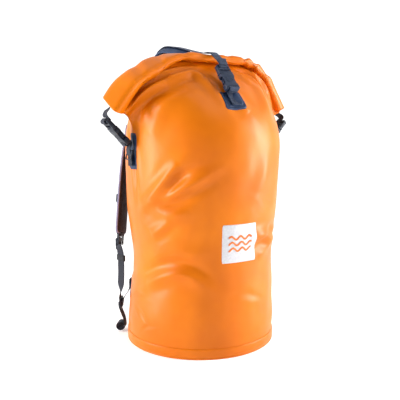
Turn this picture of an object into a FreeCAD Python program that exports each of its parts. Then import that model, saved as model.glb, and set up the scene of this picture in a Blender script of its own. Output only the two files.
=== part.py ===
"""Roll-top dry bag with a carry handle, three side-release buckles and a shoulder harness.

Millimetres. +Z is up, -Y is the front, and the origin is the centre of the base on the ground.
"""
import FreeCAD, Part
import Sketcher
import math
import os

Vector = FreeCAD.Vector
Placement = FreeCAD.Placement
Rotation = FreeCAD.Rotation

doc = FreeCAD.newDocument("DryBag")
sheet = doc.addObject("Spreadsheet::Sheet", "Sizes")

DRIVING_SIZES = {
    "bag_radius": 170.0,
    "skin_gauge": 1.0,
    "base_gauge": 3.0,
    "rim_height": 24.0,
    "rim_gauge": 2.0,
    "roll_width": 62.0,
    "roll_gauge": 28.0,
    "roll_top_level": 656.0,
    "roll_flat_half": 76.0,
    "roll_bend_radius": 140.0,
    "roll_tail": 55.0,
    "lip_width": 46.0,
    "lip_gauge": 1.6,
    "badge_width": 84.0,
    "badge_depth": 82.0,
    "badge_gauge": 0.8,
    "strap_width": 20.0,
    "strap_gauge": 1.6,
    "grip_width": 44.0,
    "grip_gauge": 5.0,
    "buckle_width": 33.0,
    "buckle_gauge": 12.0,
    "buckle_wall": 3.0,
    "patch_gauge": 3.0,
    "front_patch_side": 50.0,
    "side_patch_width": 30.0,
    "side_patch_length": 70.0,
    "back_patch_width": 60.0,
    "ring_width": 29.0,
    "ring_length": 22.0,
    "ring_gauge": 2.6,
    "pad_width": 66.0,
    "pad_gauge": 12.0,
    "harness_width": 25.0,
    "harness_gauge": 1.6,
    "anchor_width": 46.0,
    "lock_width": 34.0,
    "lock_length": 26.0,
    "lock_gauge": 4.0,
    "sternum_width": 15.0,
}
for row, (alias, value) in enumerate(DRIVING_SIZES.items(), start=1):
    sheet.set(f"A{row}", alias.replace("_", " "))
    sheet.set(f"B{row}", str(value))
    sheet.setAlias(f"B{row}", alias)
doc.recompute()


def size(alias):
    """A driving size read back from the sheet."""
    return float(sheet.get(alias))


# ---------------------------------------------------------------- helpers

parts = {}


def keep(label, item, placement=None):
    """Give a sub-part its label and place, and keep it for export."""
    item.Label = label
    if placement is not None:
        item.Placement = placement
    parts[label] = item
    return item


def radial_frame(angle, level=0.0, lean=0.0):
    """A frame whose local +Y points outward from the bag's axis at this angle from +X."""
    turn = Placement(Vector(0, 0, 0), Rotation(Vector(0, 0, 1), angle - 90.0))
    rise = Placement(Vector(0, 0, level), Rotation(Vector(0, 1, 0), lean))
    return turn.multiply(rise)


def tilted_frame(outward, level, tilt):
    """A frame in a radial frame, its local +Z tipped outward by tilt degrees from vertical."""
    return Placement(Vector(0, outward, level), Rotation(Vector(1, 0, 0), -tilt))


def new_body(label):
    return doc.addObject("PartDesign::Body", label + "_body")


def new_sketch(body, name, role):
    sketch = body.newObject("Sketcher::SketchObject", name)
    plane = next(item for item in body.Origin.OriginFeatures if item.Role == role)
    sketch.AttachmentSupport = [(plane, "")]
    sketch.MapMode = "FlatFace"
    return sketch


def symmetric_pad(body, sketch, length_rule):
    """Pad a sketch to both sides of its plane, its length bound to a rule."""
    pad = body.newObject("PartDesign::Pad", "Pad")
    pad.Profile = sketch
    pad.SideType = "Symmetric"
    pad.setExpression("Length", length_rule)
    return pad


def symmetric_pocket(body, sketch, length_rule):
    """Cut a sketch to both sides of its plane, and make sure that it removes material."""
    before = body.Shape.Volume
    pocket = body.newObject("PartDesign::Pocket", "Pocket")
    pocket.Profile = sketch
    pocket.SideType = "Symmetric"
    pocket.setExpression("Length", length_rule)
    doc.recompute()
    assert body.Shape.Volume < before - 1.0, body.Name
    return pocket


def add_polygon(sketch, points):
    """Add a closed outline of straight lines."""
    for start, end in zip(points, points[1:] + points[:1]):
        sketch.addGeometry(Part.LineSegment(Vector(*start, 0), Vector(*end, 0)), False)


def add_box(sketch, low, high):
    """Add a rectangle between two corners."""
    add_polygon(sketch, [low, (high[0], low[1]), high, (low[0], high[1])])


def bound_rectangle(sketch, width_rule, height_rule):
    """Add a rectangle centred on the sketch's origin, its two sides bound to rules."""
    add_box(sketch, (-10, -10), (10, 10))
    for edge in range(4):
        sketch.addConstraint(Sketcher.Constraint("Coincident", edge, 2, (edge + 1) % 4, 1))
    for edge, direction in enumerate(("Horizontal", "Vertical", "Horizontal", "Vertical")):
        sketch.addConstraint(Sketcher.Constraint(direction, edge))
    sketch.addConstraint(Sketcher.Constraint("Symmetric", 0, 1, 2, 1, -1, 1))
    width = sketch.addConstraint(Sketcher.Constraint("DistanceX", 0, 1, 0, 2, 20))
    height = sketch.addConstraint(Sketcher.Constraint("DistanceY", 1, 1, 1, 2, 20))
    sketch.setExpression(f"Constraints[{width}]", width_rule)
    sketch.setExpression(f"Constraints[{height}]", height_rule)


def round_edges(body, feature, direction, radius):
    """Round the edges of a feature that run along a direction."""
    doc.recompute()
    names = []
    for number, edge in enumerate(feature.Shape.Edges, start=1):
        straight = isinstance(edge.Curve, Part.Line)
        if straight and abs(edge.Curve.Direction.dot(direction)) > 0.999:
            names.append(f"Edge{number}")
    fillet = body.newObject("PartDesign::Fillet", "Fillet")
    fillet.Base = (feature, names)
    fillet.Radius = radius
    return fillet


def route_runs(route, radii):
    """Turn corner points and corner radii into tangent lines and arcs."""
    points = [Vector(x, y, 0) for x, y in route]
    runs = []
    last = points[0]
    for index in range(1, len(points) - 1):
        corner = points[index]
        back = (points[index - 1] - corner).normalize()
        ahead = (points[index + 1] - corner).normalize()
        opening = back.getAngle(ahead)
        radius = radii[index - 1]
        reach = radius / math.tan(opening / 2.0)
        arc_start = corner + back * reach
        arc_end = corner + ahead * reach
        bisector = (back + ahead).normalize()
        centre = corner + bisector * (radius / math.sin(opening / 2.0))
        runs.append(("line", last, arc_start))
        runs.append(("arc", arc_start, arc_end, centre))
        last = arc_end
    runs.append(("line", last, points[-1]))
    return runs


def shifted(run, offset):
    """A run of a route moved to its left by an offset: a line or an arc."""
    start, end = run[1], run[2]
    if run[0] == "line":
        along = (end - start).normalize()
        left = Vector(-along.y, along.x, 0)
        return Part.LineSegment(start + left * offset, end + left * offset)
    centre = run[3]
    turn = (start - centre).cross(end - centre).z
    radius = (start - centre).Length - offset * math.copysign(1.0, turn)
    ends = [centre + (point - centre).normalize() * radius for point in (start, end)]
    middle = centre + ((start + end) * 0.5 - centre).normalize() * radius
    return Part.Arc(ends[0], middle, ends[1])


def add_ribbon(sketch, route, radii, low, high):
    """Add the edge-on outline of a band that follows a route between two offsets."""
    runs = route_runs(route, radii)
    near = [shifted(run, low) for run in runs]
    far = [shifted(run, high) for run in runs]
    for edge in near + far:
        sketch.addGeometry(edge, False)
    sketch.addGeometry(Part.LineSegment(near[0].StartPoint, far[0].StartPoint), False)
    sketch.addGeometry(Part.LineSegment(near[-1].EndPoint, far[-1].EndPoint), False)


def band(label, route, radii, low, high, width_rule, placement, role="YZ_Plane"):
    """A strap of constant width that follows a route in one plane."""
    body = new_body(label)
    sketch = new_sketch(body, label + "_route", role)
    add_ribbon(sketch, route, radii, low, high)
    symmetric_pad(body, sketch, width_rule)
    return keep(label, body, placement)


def plate(label, width_rule, length_rule, gauge_rule, placement, corner=6.0):
    """A flat patch or plate: width along X, length along Z, thickness along Y."""
    body = new_body(label)
    sketch = new_sketch(body, label + "_outline", "XZ_Plane")
    bound_rectangle(sketch, width_rule, length_rule)
    pad = symmetric_pad(body, sketch, gauge_rule)
    round_edges(body, pad, Vector(0, 1, 0), corner)
    return keep(label, body, placement)


def framed(label, width_rule, length_rule, gauge_rule, openings, placement, corner=3.0):
    """A moulded frame: a rounded plate with rectangular openings, given as (x, z) corners."""
    body = plate(label, width_rule, length_rule, gauge_rule, placement, corner)
    doc.recompute()
    sketch = new_sketch(body, label + "_openings", "XZ_Plane")
    for low, high in openings:
        add_box(sketch, low, high)
    symmetric_pocket(body, sketch, gauge_rule + " + 10")
    return body


# ---------------------------------------------------------------- bag

# Level, half width, half depth and centre depth of the body's sections.
BODY_SECTIONS = [
    (3.0, 169.0, 169.0, 0.0),
    (40.0, 170.0, 170.0, 0.0),
    (240.0, 170.0, 170.0, 0.0),
    (430.0, 170.0, 170.0, 0.0),
    (480.0, 173.0, 165.0, 0.0),
    (529.0, 180.0, 142.0, -5.0),
    (563.0, 170.0, 102.0, -9.0),
    (600.0, 140.0, 52.0, -16.0),
    (617.0, 104.0, 26.0, -20.0),
]


def body_loft(name, inset, sections):
    """A loft through ellipses, each bound to the bag's radius less an inset."""
    rings = []
    for number, (level, half_width, half_depth, centre) in enumerate(sections):
        ring = doc.addObject("Part::Ellipse", f"{name}_ring_{number}")
        for rule, half in (("MajorRadius", half_width), ("MinorRadius", half_depth)):
            ring.setExpression(rule, f"Sizes.bag_radius + {half - size('bag_radius') - inset:.4f}")
        ring.Placement = Placement(Vector(0, centre, level), Rotation())
        rings.append(ring)
    loft = doc.addObject("Part::Loft", name)
    loft.Sections = rings
    loft.Solid = True
    loft.Ruled = True
    return loft


def make_bag():
    outer = body_loft("BodyOuter", 0.0, BODY_SECTIONS)
    gauge = size("skin_gauge")
    inner_sections = list(BODY_SECTIONS)
    for index, lift in ((0, gauge), (-1, -gauge)):
        level, *rest = BODY_SECTIONS[index]
        inner_sections[index] = (level + lift, *rest)
    inner = body_loft("BodyInner", gauge, inner_sections)
    shell = doc.addObject("Part::Cut", "BodyShell")
    shell.Base = outer
    shell.Tool = inner
    keep("body_shell", shell)

    panel = doc.addObject("Part::Cylinder", "BasePanel")
    panel.setExpression("Radius", "Sizes.bag_radius - Sizes.base_gauge")
    panel.setExpression("Height", "Sizes.base_gauge")
    keep("bottom_panel", panel)

    body = new_body("base_rim")
    sketch = new_sketch(body, "rim_section", "XZ_Plane")
    inside = size("bag_radius") + 0.3
    outside = inside + size("rim_gauge")
    top = size("rim_height")
    bevel = 1.0
    add_polygon(sketch, [(inside, 0), (outside - bevel, 0), (outside, bevel), (outside, top - bevel),
                         (outside - bevel, top), (inside, top)])
    rim = body.newObject("PartDesign::Revolution", "Rim")
    rim.Profile = sketch
    rim.ReferenceAxis = (sketch, ["V_Axis"])
    rim.Angle = 360.0
    keep("base_rim", body)


ROLL_MIDDLE_Y = -24.0
ROLL_DROOP = 60.0


def roll_route():
    """The arch that the rolled neck follows, as a route in X and Z."""
    flat = size("roll_flat_half")
    level = size("roll_top_level") - size("roll_gauge") / 2.0
    droop = math.radians(ROLL_DROOP)
    radius = size("roll_bend_radius")
    corner = flat + radius * math.tan(droop / 2.0)
    run = radius * math.tan(droop / 2.0) + size("roll_tail")
    end = (corner + run * math.cos(droop), level - run * math.sin(droop))
    return [(-end[0], end[1]), (-corner, level), (corner, level), end], [radius, radius]


def make_roll():
    route, radii = roll_route()
    half = size("roll_gauge") / 2.0
    slot_half = size("lip_gauge") / 2.0 + 0.3
    place = Placement(Vector(0, ROLL_MIDDLE_Y, 0), Rotation())
    body = new_body("roll_closure")
    sketch = new_sketch(body, "roll_route", "XZ_Plane")
    add_ribbon(sketch, route, radii, -half, half)
    symmetric_pad(body, sketch, "Sizes.roll_width")
    doc.recompute()
    slot = new_sketch(body, "lip_slot", "XZ_Plane")
    add_ribbon(slot, route, radii, -slot_half, slot_half)
    symmetric_pocket(body, slot, "Sizes.lip_width + 0.6")
    keep("roll_closure", body, place)
    band("lip_stiffener", route, radii, -size("lip_gauge") / 2.0, size("lip_gauge") / 2.0,
         "Sizes.lip_width", place, "XZ_Plane")


def make_badge():
    gap = 0.4
    outer = doc.addObject("Part::Cylinder", "BadgeOuter")
    outer.setExpression("Radius", f"Sizes.bag_radius + Sizes.badge_gauge + {gap}")
    outer.setExpression("Height", "Sizes.badge_depth")
    inner = doc.addObject("Part::Cylinder", "BadgeInner")
    inner.setExpression("Radius", f"Sizes.bag_radius + {gap}")
    inner.setExpression("Height", "Sizes.badge_depth")
    ring = doc.addObject("Part::Cut", "BadgeRing")
    ring.Base = outer
    ring.Tool = inner
    window = doc.addObject("Part::Box", "BadgeWindow")
    window.setExpression("Length", "Sizes.badge_width")
    window.setExpression("Width", "Sizes.bag_radius")
    window.setExpression("Height", "Sizes.badge_depth")
    window.Placement.Base = Vector(-size("badge_width") / 2.0, -size("bag_radius") - 20.0, 0)
    badge = doc.addObject("Part::Common", "Badge")
    badge.Base = ring
    badge.Tool = window
    keep("front_badge", badge, Placement(Vector(0, 0, 205), Rotation()))


# ---------------------------------------------------------------- side-release buckle
# Local frame: X across, Y outward from the bag, Z the way the male half slides out.

FEMALE_END = -24.5
MOUTH = 18.0
WINDOW_LOW = -9.6
WINDOW_HIGH = 7.6
MALE_END = 44.0
FEMALE_SLOT = FEMALE_END + 3.3
MALE_SLOTS = (27.5, 36.0)
SLOT_HEIGHT = 4.4
CAVITY_WALL = 2.2
ARM_GAUGE = 3.0
ARM_LOW = -9.0
LATCH_LOW = -4.5
LATCH_HIGH = 6.0
PIVOT_X = 10.5
PIVOT_Z = 16.0

# Webbing round the female half's bar and round the male half's last bar, in Y and Z.
BAR_WRAP = [(-6.4, -19.2), (6.6, -19.2), (6.6, -26.8), (-3.2, -26.8)]
STRAP_WRAP = [(6.6, 38.2), (-6.6, 38.2), (-6.6, 46.5), (2.0, 46.5)]


def mirrored(corners):
    """The same corners on the other side of the middle, in the order that closes an outline."""
    return [(-x, z) for x, z in reversed(corners)]


def make_female(label, place):
    """The socket: a shell open at the mouth, with side windows and a bar for the webbing."""
    half = size("buckle_width") / 2.0
    inner = half - size("buckle_wall")
    cavity_gauge = size("buckle_gauge") - 2.0 * CAVITY_WALL
    body = new_body(label)
    outline = new_sketch(body, label + "_outline", "XZ_Plane")
    right = [(half - 3, FEMALE_END), (half, FEMALE_END + 5), (half, MOUTH)]
    add_polygon(outline, right + mirrored(right))
    pad = symmetric_pad(body, outline, "Sizes.buckle_gauge")
    round_edges(body, pad, Vector(0, 0, 1), 2.0)
    doc.recompute()
    slot = new_sketch(body, label + "_slot", "XZ_Plane")
    add_box(slot, (-inner + 2, FEMALE_SLOT), (inner - 2, FEMALE_SLOT + SLOT_HEIGHT))
    symmetric_pocket(body, slot, "Sizes.buckle_gauge + 4")
    cavity = new_sketch(body, label + "_cavity", "XZ_Plane")
    add_box(cavity, (-inner, WINDOW_LOW), (inner, MOUTH + 1))
    symmetric_pocket(body, cavity, f"{cavity_gauge}")
    windows = new_sketch(body, label + "_windows", "XZ_Plane")
    add_box(windows, (inner - 0.5, WINDOW_LOW), (half + 1, WINDOW_HIGH))
    add_box(windows, (-half - 1, WINDOW_LOW), (-inner + 0.5, WINDOW_HIGH))
    symmetric_pocket(body, windows, f"{cavity_gauge}")
    return keep(label, body, place)


def make_male(label, place):
    """The plug's body: a ladder of bars that the adjustable strap is threaded through."""
    half = size("buckle_width") / 2.0
    foot = MOUTH + 0.3
    body = new_body(label)
    outline = new_sketch(body, label + "_outline", "XZ_Plane")
    right = [(half, foot), (half, MALE_END - 3), (half - 3, MALE_END)]
    add_polygon(outline, right + mirrored(right))
    pad = symmetric_pad(body, outline, "Sizes.buckle_gauge - 2")
    round_edges(body, pad, Vector(0, 0, 1), 2.0)
    doc.recompute()
    slots = new_sketch(body, label + "_slots", "XZ_Plane")
    for low in MALE_SLOTS:
        add_box(slots, (-half + 5, low), (half - 5, low + SLOT_HEIGHT))
    symmetric_pocket(body, slots, "Sizes.buckle_gauge + 4")
    return keep(label, body, place)


def make_prong(label, place, side):
    """A springy arm of the male half, with the sloped latch head that fills the side window."""
    half = size("buckle_width") / 2.0
    body = new_body(label)
    sketch = new_sketch(body, label + "_outline", "XZ_Plane")
    low_x = PIVOT_X - ARM_GAUGE / 2.0
    high_x = PIVOT_X + ARM_GAUGE / 2.0
    corners = [(low_x, PIVOT_Z), (low_x, ARM_LOW), (high_x, ARM_LOW), (half, LATCH_LOW),
               (high_x, LATCH_HIGH), (high_x, PIVOT_Z)]
    if side < 0:
        corners = [(-x, z) for x, z in corners]
    for start, end in zip(corners, corners[1:]):
        sketch.addGeometry(Part.LineSegment(Vector(*start, 0), Vector(*end, 0)), False)
    crown = Vector(side * PIVOT_X, PIVOT_Z + ARM_GAUGE / 2.0, 0)
    sketch.addGeometry(Part.Arc(Vector(*corners[-1], 0), crown, Vector(*corners[0], 0)), False)
    symmetric_pad(body, sketch, "6")
    return keep(label, body, place)


def make_buckle(name, place):
    make_female(name + "_female", place)
    make_male(name + "_male", place)
    for side, word in ((-1, "a"), (1, "b")):
        make_prong(f"{name}_prong_{word}", place, side)


def in_tilted(frame_point, tilt, points):
    """Points of a tilted frame's Y and Z, given in the frame that holds it."""
    turn = math.radians(tilt)
    outward, level = frame_point
    along = (math.sin(turn), math.cos(turn))
    across = (math.cos(turn), -math.sin(turn))
    return [(outward + y * across[0] + z * along[0], level + y * across[1] + z * along[1])
            for y, z in points]


# ---------------------------------------------------------------- top strap, handle and front buckle

FRONT = -90.0
BACK = 90.0
FRONT_BUCKLE = (117.3, 584.9)
FRONT_TILT = -40.0
FRONT_PATCH = (136.0, 547.0)
FRONT_PATCH_TILT = -45.0


def make_top_strap():
    gauge = size("strap_gauge")
    frame = radial_frame(FRONT)
    make_buckle("front", frame.multiply(tilted_frame(*FRONT_BUCKLE, FRONT_TILT)))

    patch_place = tilted_frame(*FRONT_PATCH, FRONT_PATCH_TILT)
    plate("front_patch", "Sizes.front_patch_side", "Sizes.front_patch_side", "Sizes.patch_gauge",
          frame.multiply(patch_place))
    foot = in_tilted(FRONT_PATCH, FRONT_PATCH_TILT, [(3.6, -20.0), (3.6, 2.0)])
    hold = in_tilted(FRONT_BUCKLE, FRONT_TILT, [(-6.4, -31.0)] + BAR_WRAP)
    band("front_patch_webbing", foot + hold, [2.5, 2.5, 1.6, 1.6, 1.6], 0.0, gauge,
         "Sizes.strap_width", frame)

    top = size("roll_top_level") + 0.4
    run = [(51.9, top), (61.0, top)] + in_tilted(FRONT_BUCKLE, FRONT_TILT, [(6.6, 52.0)] + STRAP_WRAP)
    band("front_strap_run", run, [5.0, 8.0, 2.0, 1.6, 1.6], 0.0, gauge, "Sizes.strap_width", frame)

    # The strap passes over the roll, carries the handle and comes down to the patch at the back.
    handle = [(-51.6, top), (40.0, top + 0.2), (140.0, 689.0), (206.0, 672.0), (196.0, 560.0),
              (174.6, 505.0), (174.6, 440.0)]
    band("top_strap", handle, [60.0, 90.0, 26.0, 60.0, 30.0], 0.0, gauge,
         "Sizes.strap_width", radial_frame(BACK))
    grip = new_body("handle_grip")
    route = new_sketch(grip, "grip_route", "YZ_Plane")
    add_ribbon(route, grip_route(handle), [90.0, 26.0], -size("grip_gauge") - 0.2, -0.2)
    symmetric_pad(grip, route, "Sizes.grip_width")
    keep("handle_grip", grip, radial_frame(BACK))
    plate("back_patch", "Sizes.back_patch_width", "Sizes.side_patch_length", "Sizes.patch_gauge",
          radial_frame(BACK).multiply(tilted_frame(172.4, 440.0, 0.0)))


def grip_route(handle):
    """The stretch of the handle that the grip covers."""
    def between(start, end, share):
        return tuple(a + (b - a) * share for a, b in zip(start, end))
    return [between(handle[1], handle[2], 0.45), handle[2], handle[3],
            between(handle[3], handle[4], 0.55)]


# ---------------------------------------------------------------- sides

SIDES = (("left", 180.0, 1.0), ("right", 0.0, -1.0))
SIDE_SHIFT = -6.0
SIDE_BUCKLE = (203.6, 472.6)
SIDE_TILT = 45.0
RING_PIVOT = (179.1, 440.0)
RING_TILT = 12.0


def make_ring(label, frame):
    """A flat loop that hangs from a bar under the webbing."""
    half = size("ring_width") / 2.0
    gauge = size("ring_gauge")
    body = new_body(label)
    sketch = new_sketch(body, label + "_outline", "XZ_Plane")
    top = gauge / 2.0
    low = top - size("ring_length")
    add_box(sketch, (-half, low), (half, top))
    add_box(sketch, (-half + gauge, low + gauge), (half - gauge, top - gauge))
    pad = symmetric_pad(body, sketch, "Sizes.ring_gauge")
    round_edges(body, pad, Vector(0, 1, 0), 1.0)
    return keep(label, body, frame.multiply(tilted_frame(*RING_PIVOT, -RING_TILT)))


def make_side(word, angle, side):
    gauge = size("strap_gauge")
    across = Placement(Vector(SIDE_SHIFT * side, 0, 0), Rotation())
    frame = radial_frame(angle).multiply(across)
    make_buckle(word, frame.multiply(tilted_frame(*SIDE_BUCKLE, SIDE_TILT)))
    plate(f"{word}_patch", "Sizes.side_patch_width", "Sizes.side_patch_length", "Sizes.patch_gauge",
          frame.multiply(tilted_frame(174.5, 438.0, 0.0)))
    hump = [(178.2, 408.0), (178.2, 431.0), (182.6, 435.5), (182.6, 444.5), (179.6, 449.0)]
    wrap = in_tilted(SIDE_BUCKLE, SIDE_TILT, [(-6.4, -29.0)] + BAR_WRAP)
    band(f"{word}_webbing", hump + wrap, [2.2, 2.2, 2.2, 2.2, 2.2, 2.0, 1.6, 1.6, 1.6], 0.0, gauge,
         "Sizes.strap_width", frame)
    make_ring(f"{word}_ring", frame)
    end = roll_route()[0][-1]
    start = (end[0] + 0.6, end[1] - 1.0)
    tab = in_tilted(SIDE_BUCKLE, SIDE_TILT, [(-6.6, 38.2), (6.6, 38.2), (6.6, 46.5), (-2.0, 46.5)])
    band(f"{word}_roll_tab", [start] + tab, [2.0, 1.6, 1.6], -gauge, 0.0, "Sizes.strap_width", frame)


# ---------------------------------------------------------------- harness

PAD_ANGLE = 48.0
PAD_LEVEL = 362.0
PAD_SHIFT = 18.0
PAD_LEAN = 14.0
PAD_FACE = 191.0
PAD_ROUTE = [(PAD_FACE, -128.0), (PAD_FACE, 20.0), (181.0, 132.0)]
PAD_BEND = 300.0
LOCK_PLACE = (190.0, -142.5)
SLIDER_LEVEL = -45.0
LOWER_ANGLE = 55.0
LOWER_FACE = 195.5


def make_sleeve(label, width, depth, wall, height_rule, placement):
    """A short rectangular tube that webbing passes through, its axis along Z."""
    body = new_body(label)
    sketch = new_sketch(body, label + "_section", "XY_Plane")
    add_box(sketch, (-width / 2 - wall, -depth / 2 - wall), (width / 2 + wall, depth / 2 + wall))
    add_box(sketch, (-width / 2, -depth / 2), (width / 2, depth / 2))
    symmetric_pad(body, sketch, height_rule)
    return keep(label, body, placement)


def make_harness(word, side):
    gauge = size("harness_gauge")
    upper = radial_frame(90.0 + PAD_ANGLE * side)
    lean = Placement(Vector(PAD_SHIFT * side, 0, PAD_LEVEL), Rotation(Vector(0, 1, 0), PAD_LEAN * side))
    pad_frame = upper.multiply(lean)
    plate(f"{word}_shoulder_patch", "Sizes.anchor_width", "Sizes.anchor_width", "Sizes.patch_gauge",
          radial_frame(90.0 + 31.0 * side).multiply(tilted_frame(172.4, 466.0, 0.0)))

    half = size("pad_gauge") / 2.0
    gap = 0.3
    band(f"{word}_shoulder_pad", PAD_ROUTE, [PAD_BEND], -half, half, "Sizes.pad_width", pad_frame)
    band(f"{word}_pad_webbing", PAD_ROUTE, [PAD_BEND], -half - gap - gauge, -half - gap,
         "Sizes.harness_width", pad_frame)
    slot = size("lock_width") / 2.0 - 4.0
    lock_slots = [((-slot, 4.0), (slot, 8.0)), ((-slot, -9.0), (slot, -5.0))]
    framed(f"{word}_ladder_lock", "Sizes.lock_width", "Sizes.lock_length", "Sizes.lock_gauge", lock_slots,
           pad_frame.multiply(tilted_frame(*LOCK_PLACE, 0.0)))

    slider = PAD_FACE + half + gap + gauge + 2.0
    framed(f"{word}_sternum_slider", "Sizes.lock_width", "Sizes.strap_width", "3", [((-9, -5), (9, -1.5))],
           pad_frame.multiply(tilted_frame(slider, SLIDER_LEVEL, 0.0)))
    hang_shift = (PAD_SHIFT + SLIDER_LEVEL * math.sin(math.radians(PAD_LEAN))) * side
    hang = upper.multiply(Placement(Vector(hang_shift, 0, 0), Rotation()))
    face = slider + 2.6
    band(f"{word}_sternum_strap", [(face, 316.0), (face, 270.0), (face + 1.5, 224.0)], [400.0], -0.6, 0.6,
         "Sizes.sternum_width", hang)
    framed(f"{word}_sternum_buckle", "22", "28", "7", [((-8.5, 7.5), (8.5, 11.0))],
           hang.multiply(tilted_frame(face + 1.5, 208.5, 0.0)), 2.0)

    lower = radial_frame(90.0 + LOWER_ANGLE * side)
    band(f"{word}_lower_webbing", [(LOWER_FACE + 1.6, 214.0), (LOWER_FACE, 140.0), (193.2, 62.0)], [600.0],
         0.0, gauge, "Sizes.harness_width", lower)
    make_sleeve(f"{word}_keeper", 26.0, 3.4, 1.2, "14",
                lower.multiply(tilted_frame(LOWER_FACE + gauge, 190.0, 0.0)))
    framed(f"{word}_adjuster", "Sizes.lock_width", "Sizes.lock_length", "Sizes.lock_gauge", lock_slots,
           lower.multiply(tilted_frame(190.6, 70.0, 0.0)))
    plate(f"{word}_lower_patch", "Sizes.side_patch_width", "Sizes.front_patch_side", "Sizes.patch_gauge",
          lower.multiply(tilted_frame(172.2, 109.0, 0.0)))
    anchor = [(174.1, 130.0), (174.1, 102.0), (186.6, 74.0), (186.6, 60.0)]
    band(f"{word}_anchor_webbing", anchor, [8.0, 8.0], 0.0, gauge, "Sizes.harness_width", lower)
    make_tail(f"{word}_webbing_tail", lower)


def make_tail(label, frame):
    """The spare webbing below the adjuster, its end rolled up."""
    gauge = size("harness_gauge")
    body = new_body(label)
    sketch = new_sketch(body, label + "_route", "YZ_Plane")
    roll_radius = 12.0
    level = roll_radius + 3.0
    strip_face = 190.0
    add_box(sketch, (strip_face, level + 8.0), (strip_face + gauge, 55.5))
    symmetric_pad(body, sketch, "Sizes.harness_width")
    roll = new_sketch(body, label + "_roll", "YZ_Plane")
    roll.addGeometry(Part.Circle(Vector(strip_face + 2.0, level, 0), Vector(0, 0, 1), roll_radius), False)
    symmetric_pad(body, roll, "Sizes.harness_width")
    keep(label, body, frame)


def write_parts():
    """Check every object, then write each sub-part's shape to its own STEP file."""
    doc.recompute()
    broken = [item.Label for item in doc.Objects if {"Invalid", "Error"} & set(item.State)]
    assert not broken, broken
    os.makedirs("parts", exist_ok=True)
    for label, item in parts.items():
        shape = item.Shape
        assert not shape.isNull() and shape.isValid() and shape.Volume > 1.0, label
        assert shape.BoundBox.ZMin > -0.001, label
        shape.exportStep(f"parts/{label}.step")
        print(f"{label}: {shape.Volume / 1000.0:.1f} cm3")


make_bag()
make_roll()
make_badge()
make_top_strap()
for side_word, side_angle, side_sign in SIDES:
    make_side(side_word, side_angle, side_sign)
    make_harness(side_word, side_sign)
write_parts()
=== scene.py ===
"""The looks of the roll-top dry bag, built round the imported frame. Metres, +Z up, -Y is the front."""
import math

import bmesh
import bpy
import numpy as np
from mathutils import Matrix, Vector, noise
from mathutils.bvhtree import BVHTree


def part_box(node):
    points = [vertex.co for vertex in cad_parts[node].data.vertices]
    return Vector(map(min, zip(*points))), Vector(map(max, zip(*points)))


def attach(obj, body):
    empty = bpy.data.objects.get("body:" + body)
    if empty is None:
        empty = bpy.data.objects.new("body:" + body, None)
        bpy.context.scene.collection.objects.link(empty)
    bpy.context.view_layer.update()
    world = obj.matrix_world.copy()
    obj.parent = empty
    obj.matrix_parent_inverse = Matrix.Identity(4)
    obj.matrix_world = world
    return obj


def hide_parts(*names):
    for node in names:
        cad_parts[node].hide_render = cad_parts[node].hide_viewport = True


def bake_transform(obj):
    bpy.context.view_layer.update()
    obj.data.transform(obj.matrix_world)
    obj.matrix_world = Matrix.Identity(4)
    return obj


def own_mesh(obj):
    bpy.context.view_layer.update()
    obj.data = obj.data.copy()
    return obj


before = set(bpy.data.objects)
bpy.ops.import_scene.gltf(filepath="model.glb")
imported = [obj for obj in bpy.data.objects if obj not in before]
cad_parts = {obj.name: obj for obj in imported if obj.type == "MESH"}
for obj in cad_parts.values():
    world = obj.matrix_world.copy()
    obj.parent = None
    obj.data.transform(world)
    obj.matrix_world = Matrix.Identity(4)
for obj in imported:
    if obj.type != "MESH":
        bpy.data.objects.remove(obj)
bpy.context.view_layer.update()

# ---------------------------------------------------------------- places read from the frame

ROLL_LOW, ROLL_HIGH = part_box("roll_closure")
RIM_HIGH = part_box("base_rim")[1]
RIM_GAUGE = 0.0023
BAG_RADIUS = RIM_HIGH.x - RIM_GAUGE
ROLL_Y = (ROLL_LOW.y + ROLL_HIGH.y) / 2.0
ROLL_TOP = ROLL_HIGH.z
ROLL_GAUGE = 0.028


# ---------------------------------------------------------------- mesh helpers

def link(name, verts, faces, smooth=True):
    """A new mesh object from vertices and faces."""
    mesh = bpy.data.meshes.new(name)
    mesh.from_pydata([tuple(v) for v in verts], [], [tuple(f) for f in faces])
    mesh.validate()
    mesh.update()
    mesh.polygons.foreach_set("use_smooth", [smooth] * len(mesh.polygons))
    obj = bpy.data.objects.new(name, mesh)
    bpy.context.scene.collection.objects.link(obj)
    return obj


def grid_faces(rows, columns, closed):
    """Quads of a grid of rows by columns, the columns closed into a ring or not."""
    last = columns if closed else columns - 1
    return [(r * columns + c, r * columns + (c + 1) % columns, (r + 1) * columns + (c + 1) % columns,
             (r + 1) * columns + c) for r in range(rows - 1) for c in range(last)]


def tube_faces(rows, columns, base=0, looped=False):
    """Quads of a tube of rows by columns, its ends capped, or joined to each other when looped."""
    faces = grid_faces(rows, columns, True)
    last = (rows - 1) * columns
    if looped:
        faces += [(last + k, last + (k + 1) % columns, (k + 1) % columns, k) for k in range(columns)]
    else:
        faces += [tuple(range(columns))[::-1], tuple(range(last, last + columns))]
    return [tuple(base + vertex for vertex in face) for face in faces]


def coordinates(mesh, kind="co"):
    """A mesh's vertex places, or its vertex normals, as the rows of an array."""
    values = np.empty(len(mesh.vertices) * 3)
    mesh.vertices.foreach_get(kind, values)
    return values.reshape(-1, 3)


def move_vertices(mesh, places):
    """Put a mesh's vertices at the rows of an array."""
    mesh.vertices.foreach_set("co", places.ravel())
    mesh.update()


def bake(obj):
    """Turn an object's modifiers into its mesh."""
    graph = bpy.context.evaluated_depsgraph_get()
    mesh = bpy.data.meshes.new_from_object(obj.evaluated_get(graph))
    obj.modifiers.clear()
    obj.data = mesh
    mesh.polygons.foreach_set("use_smooth", [True] * len(mesh.polygons))
    return obj


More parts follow.
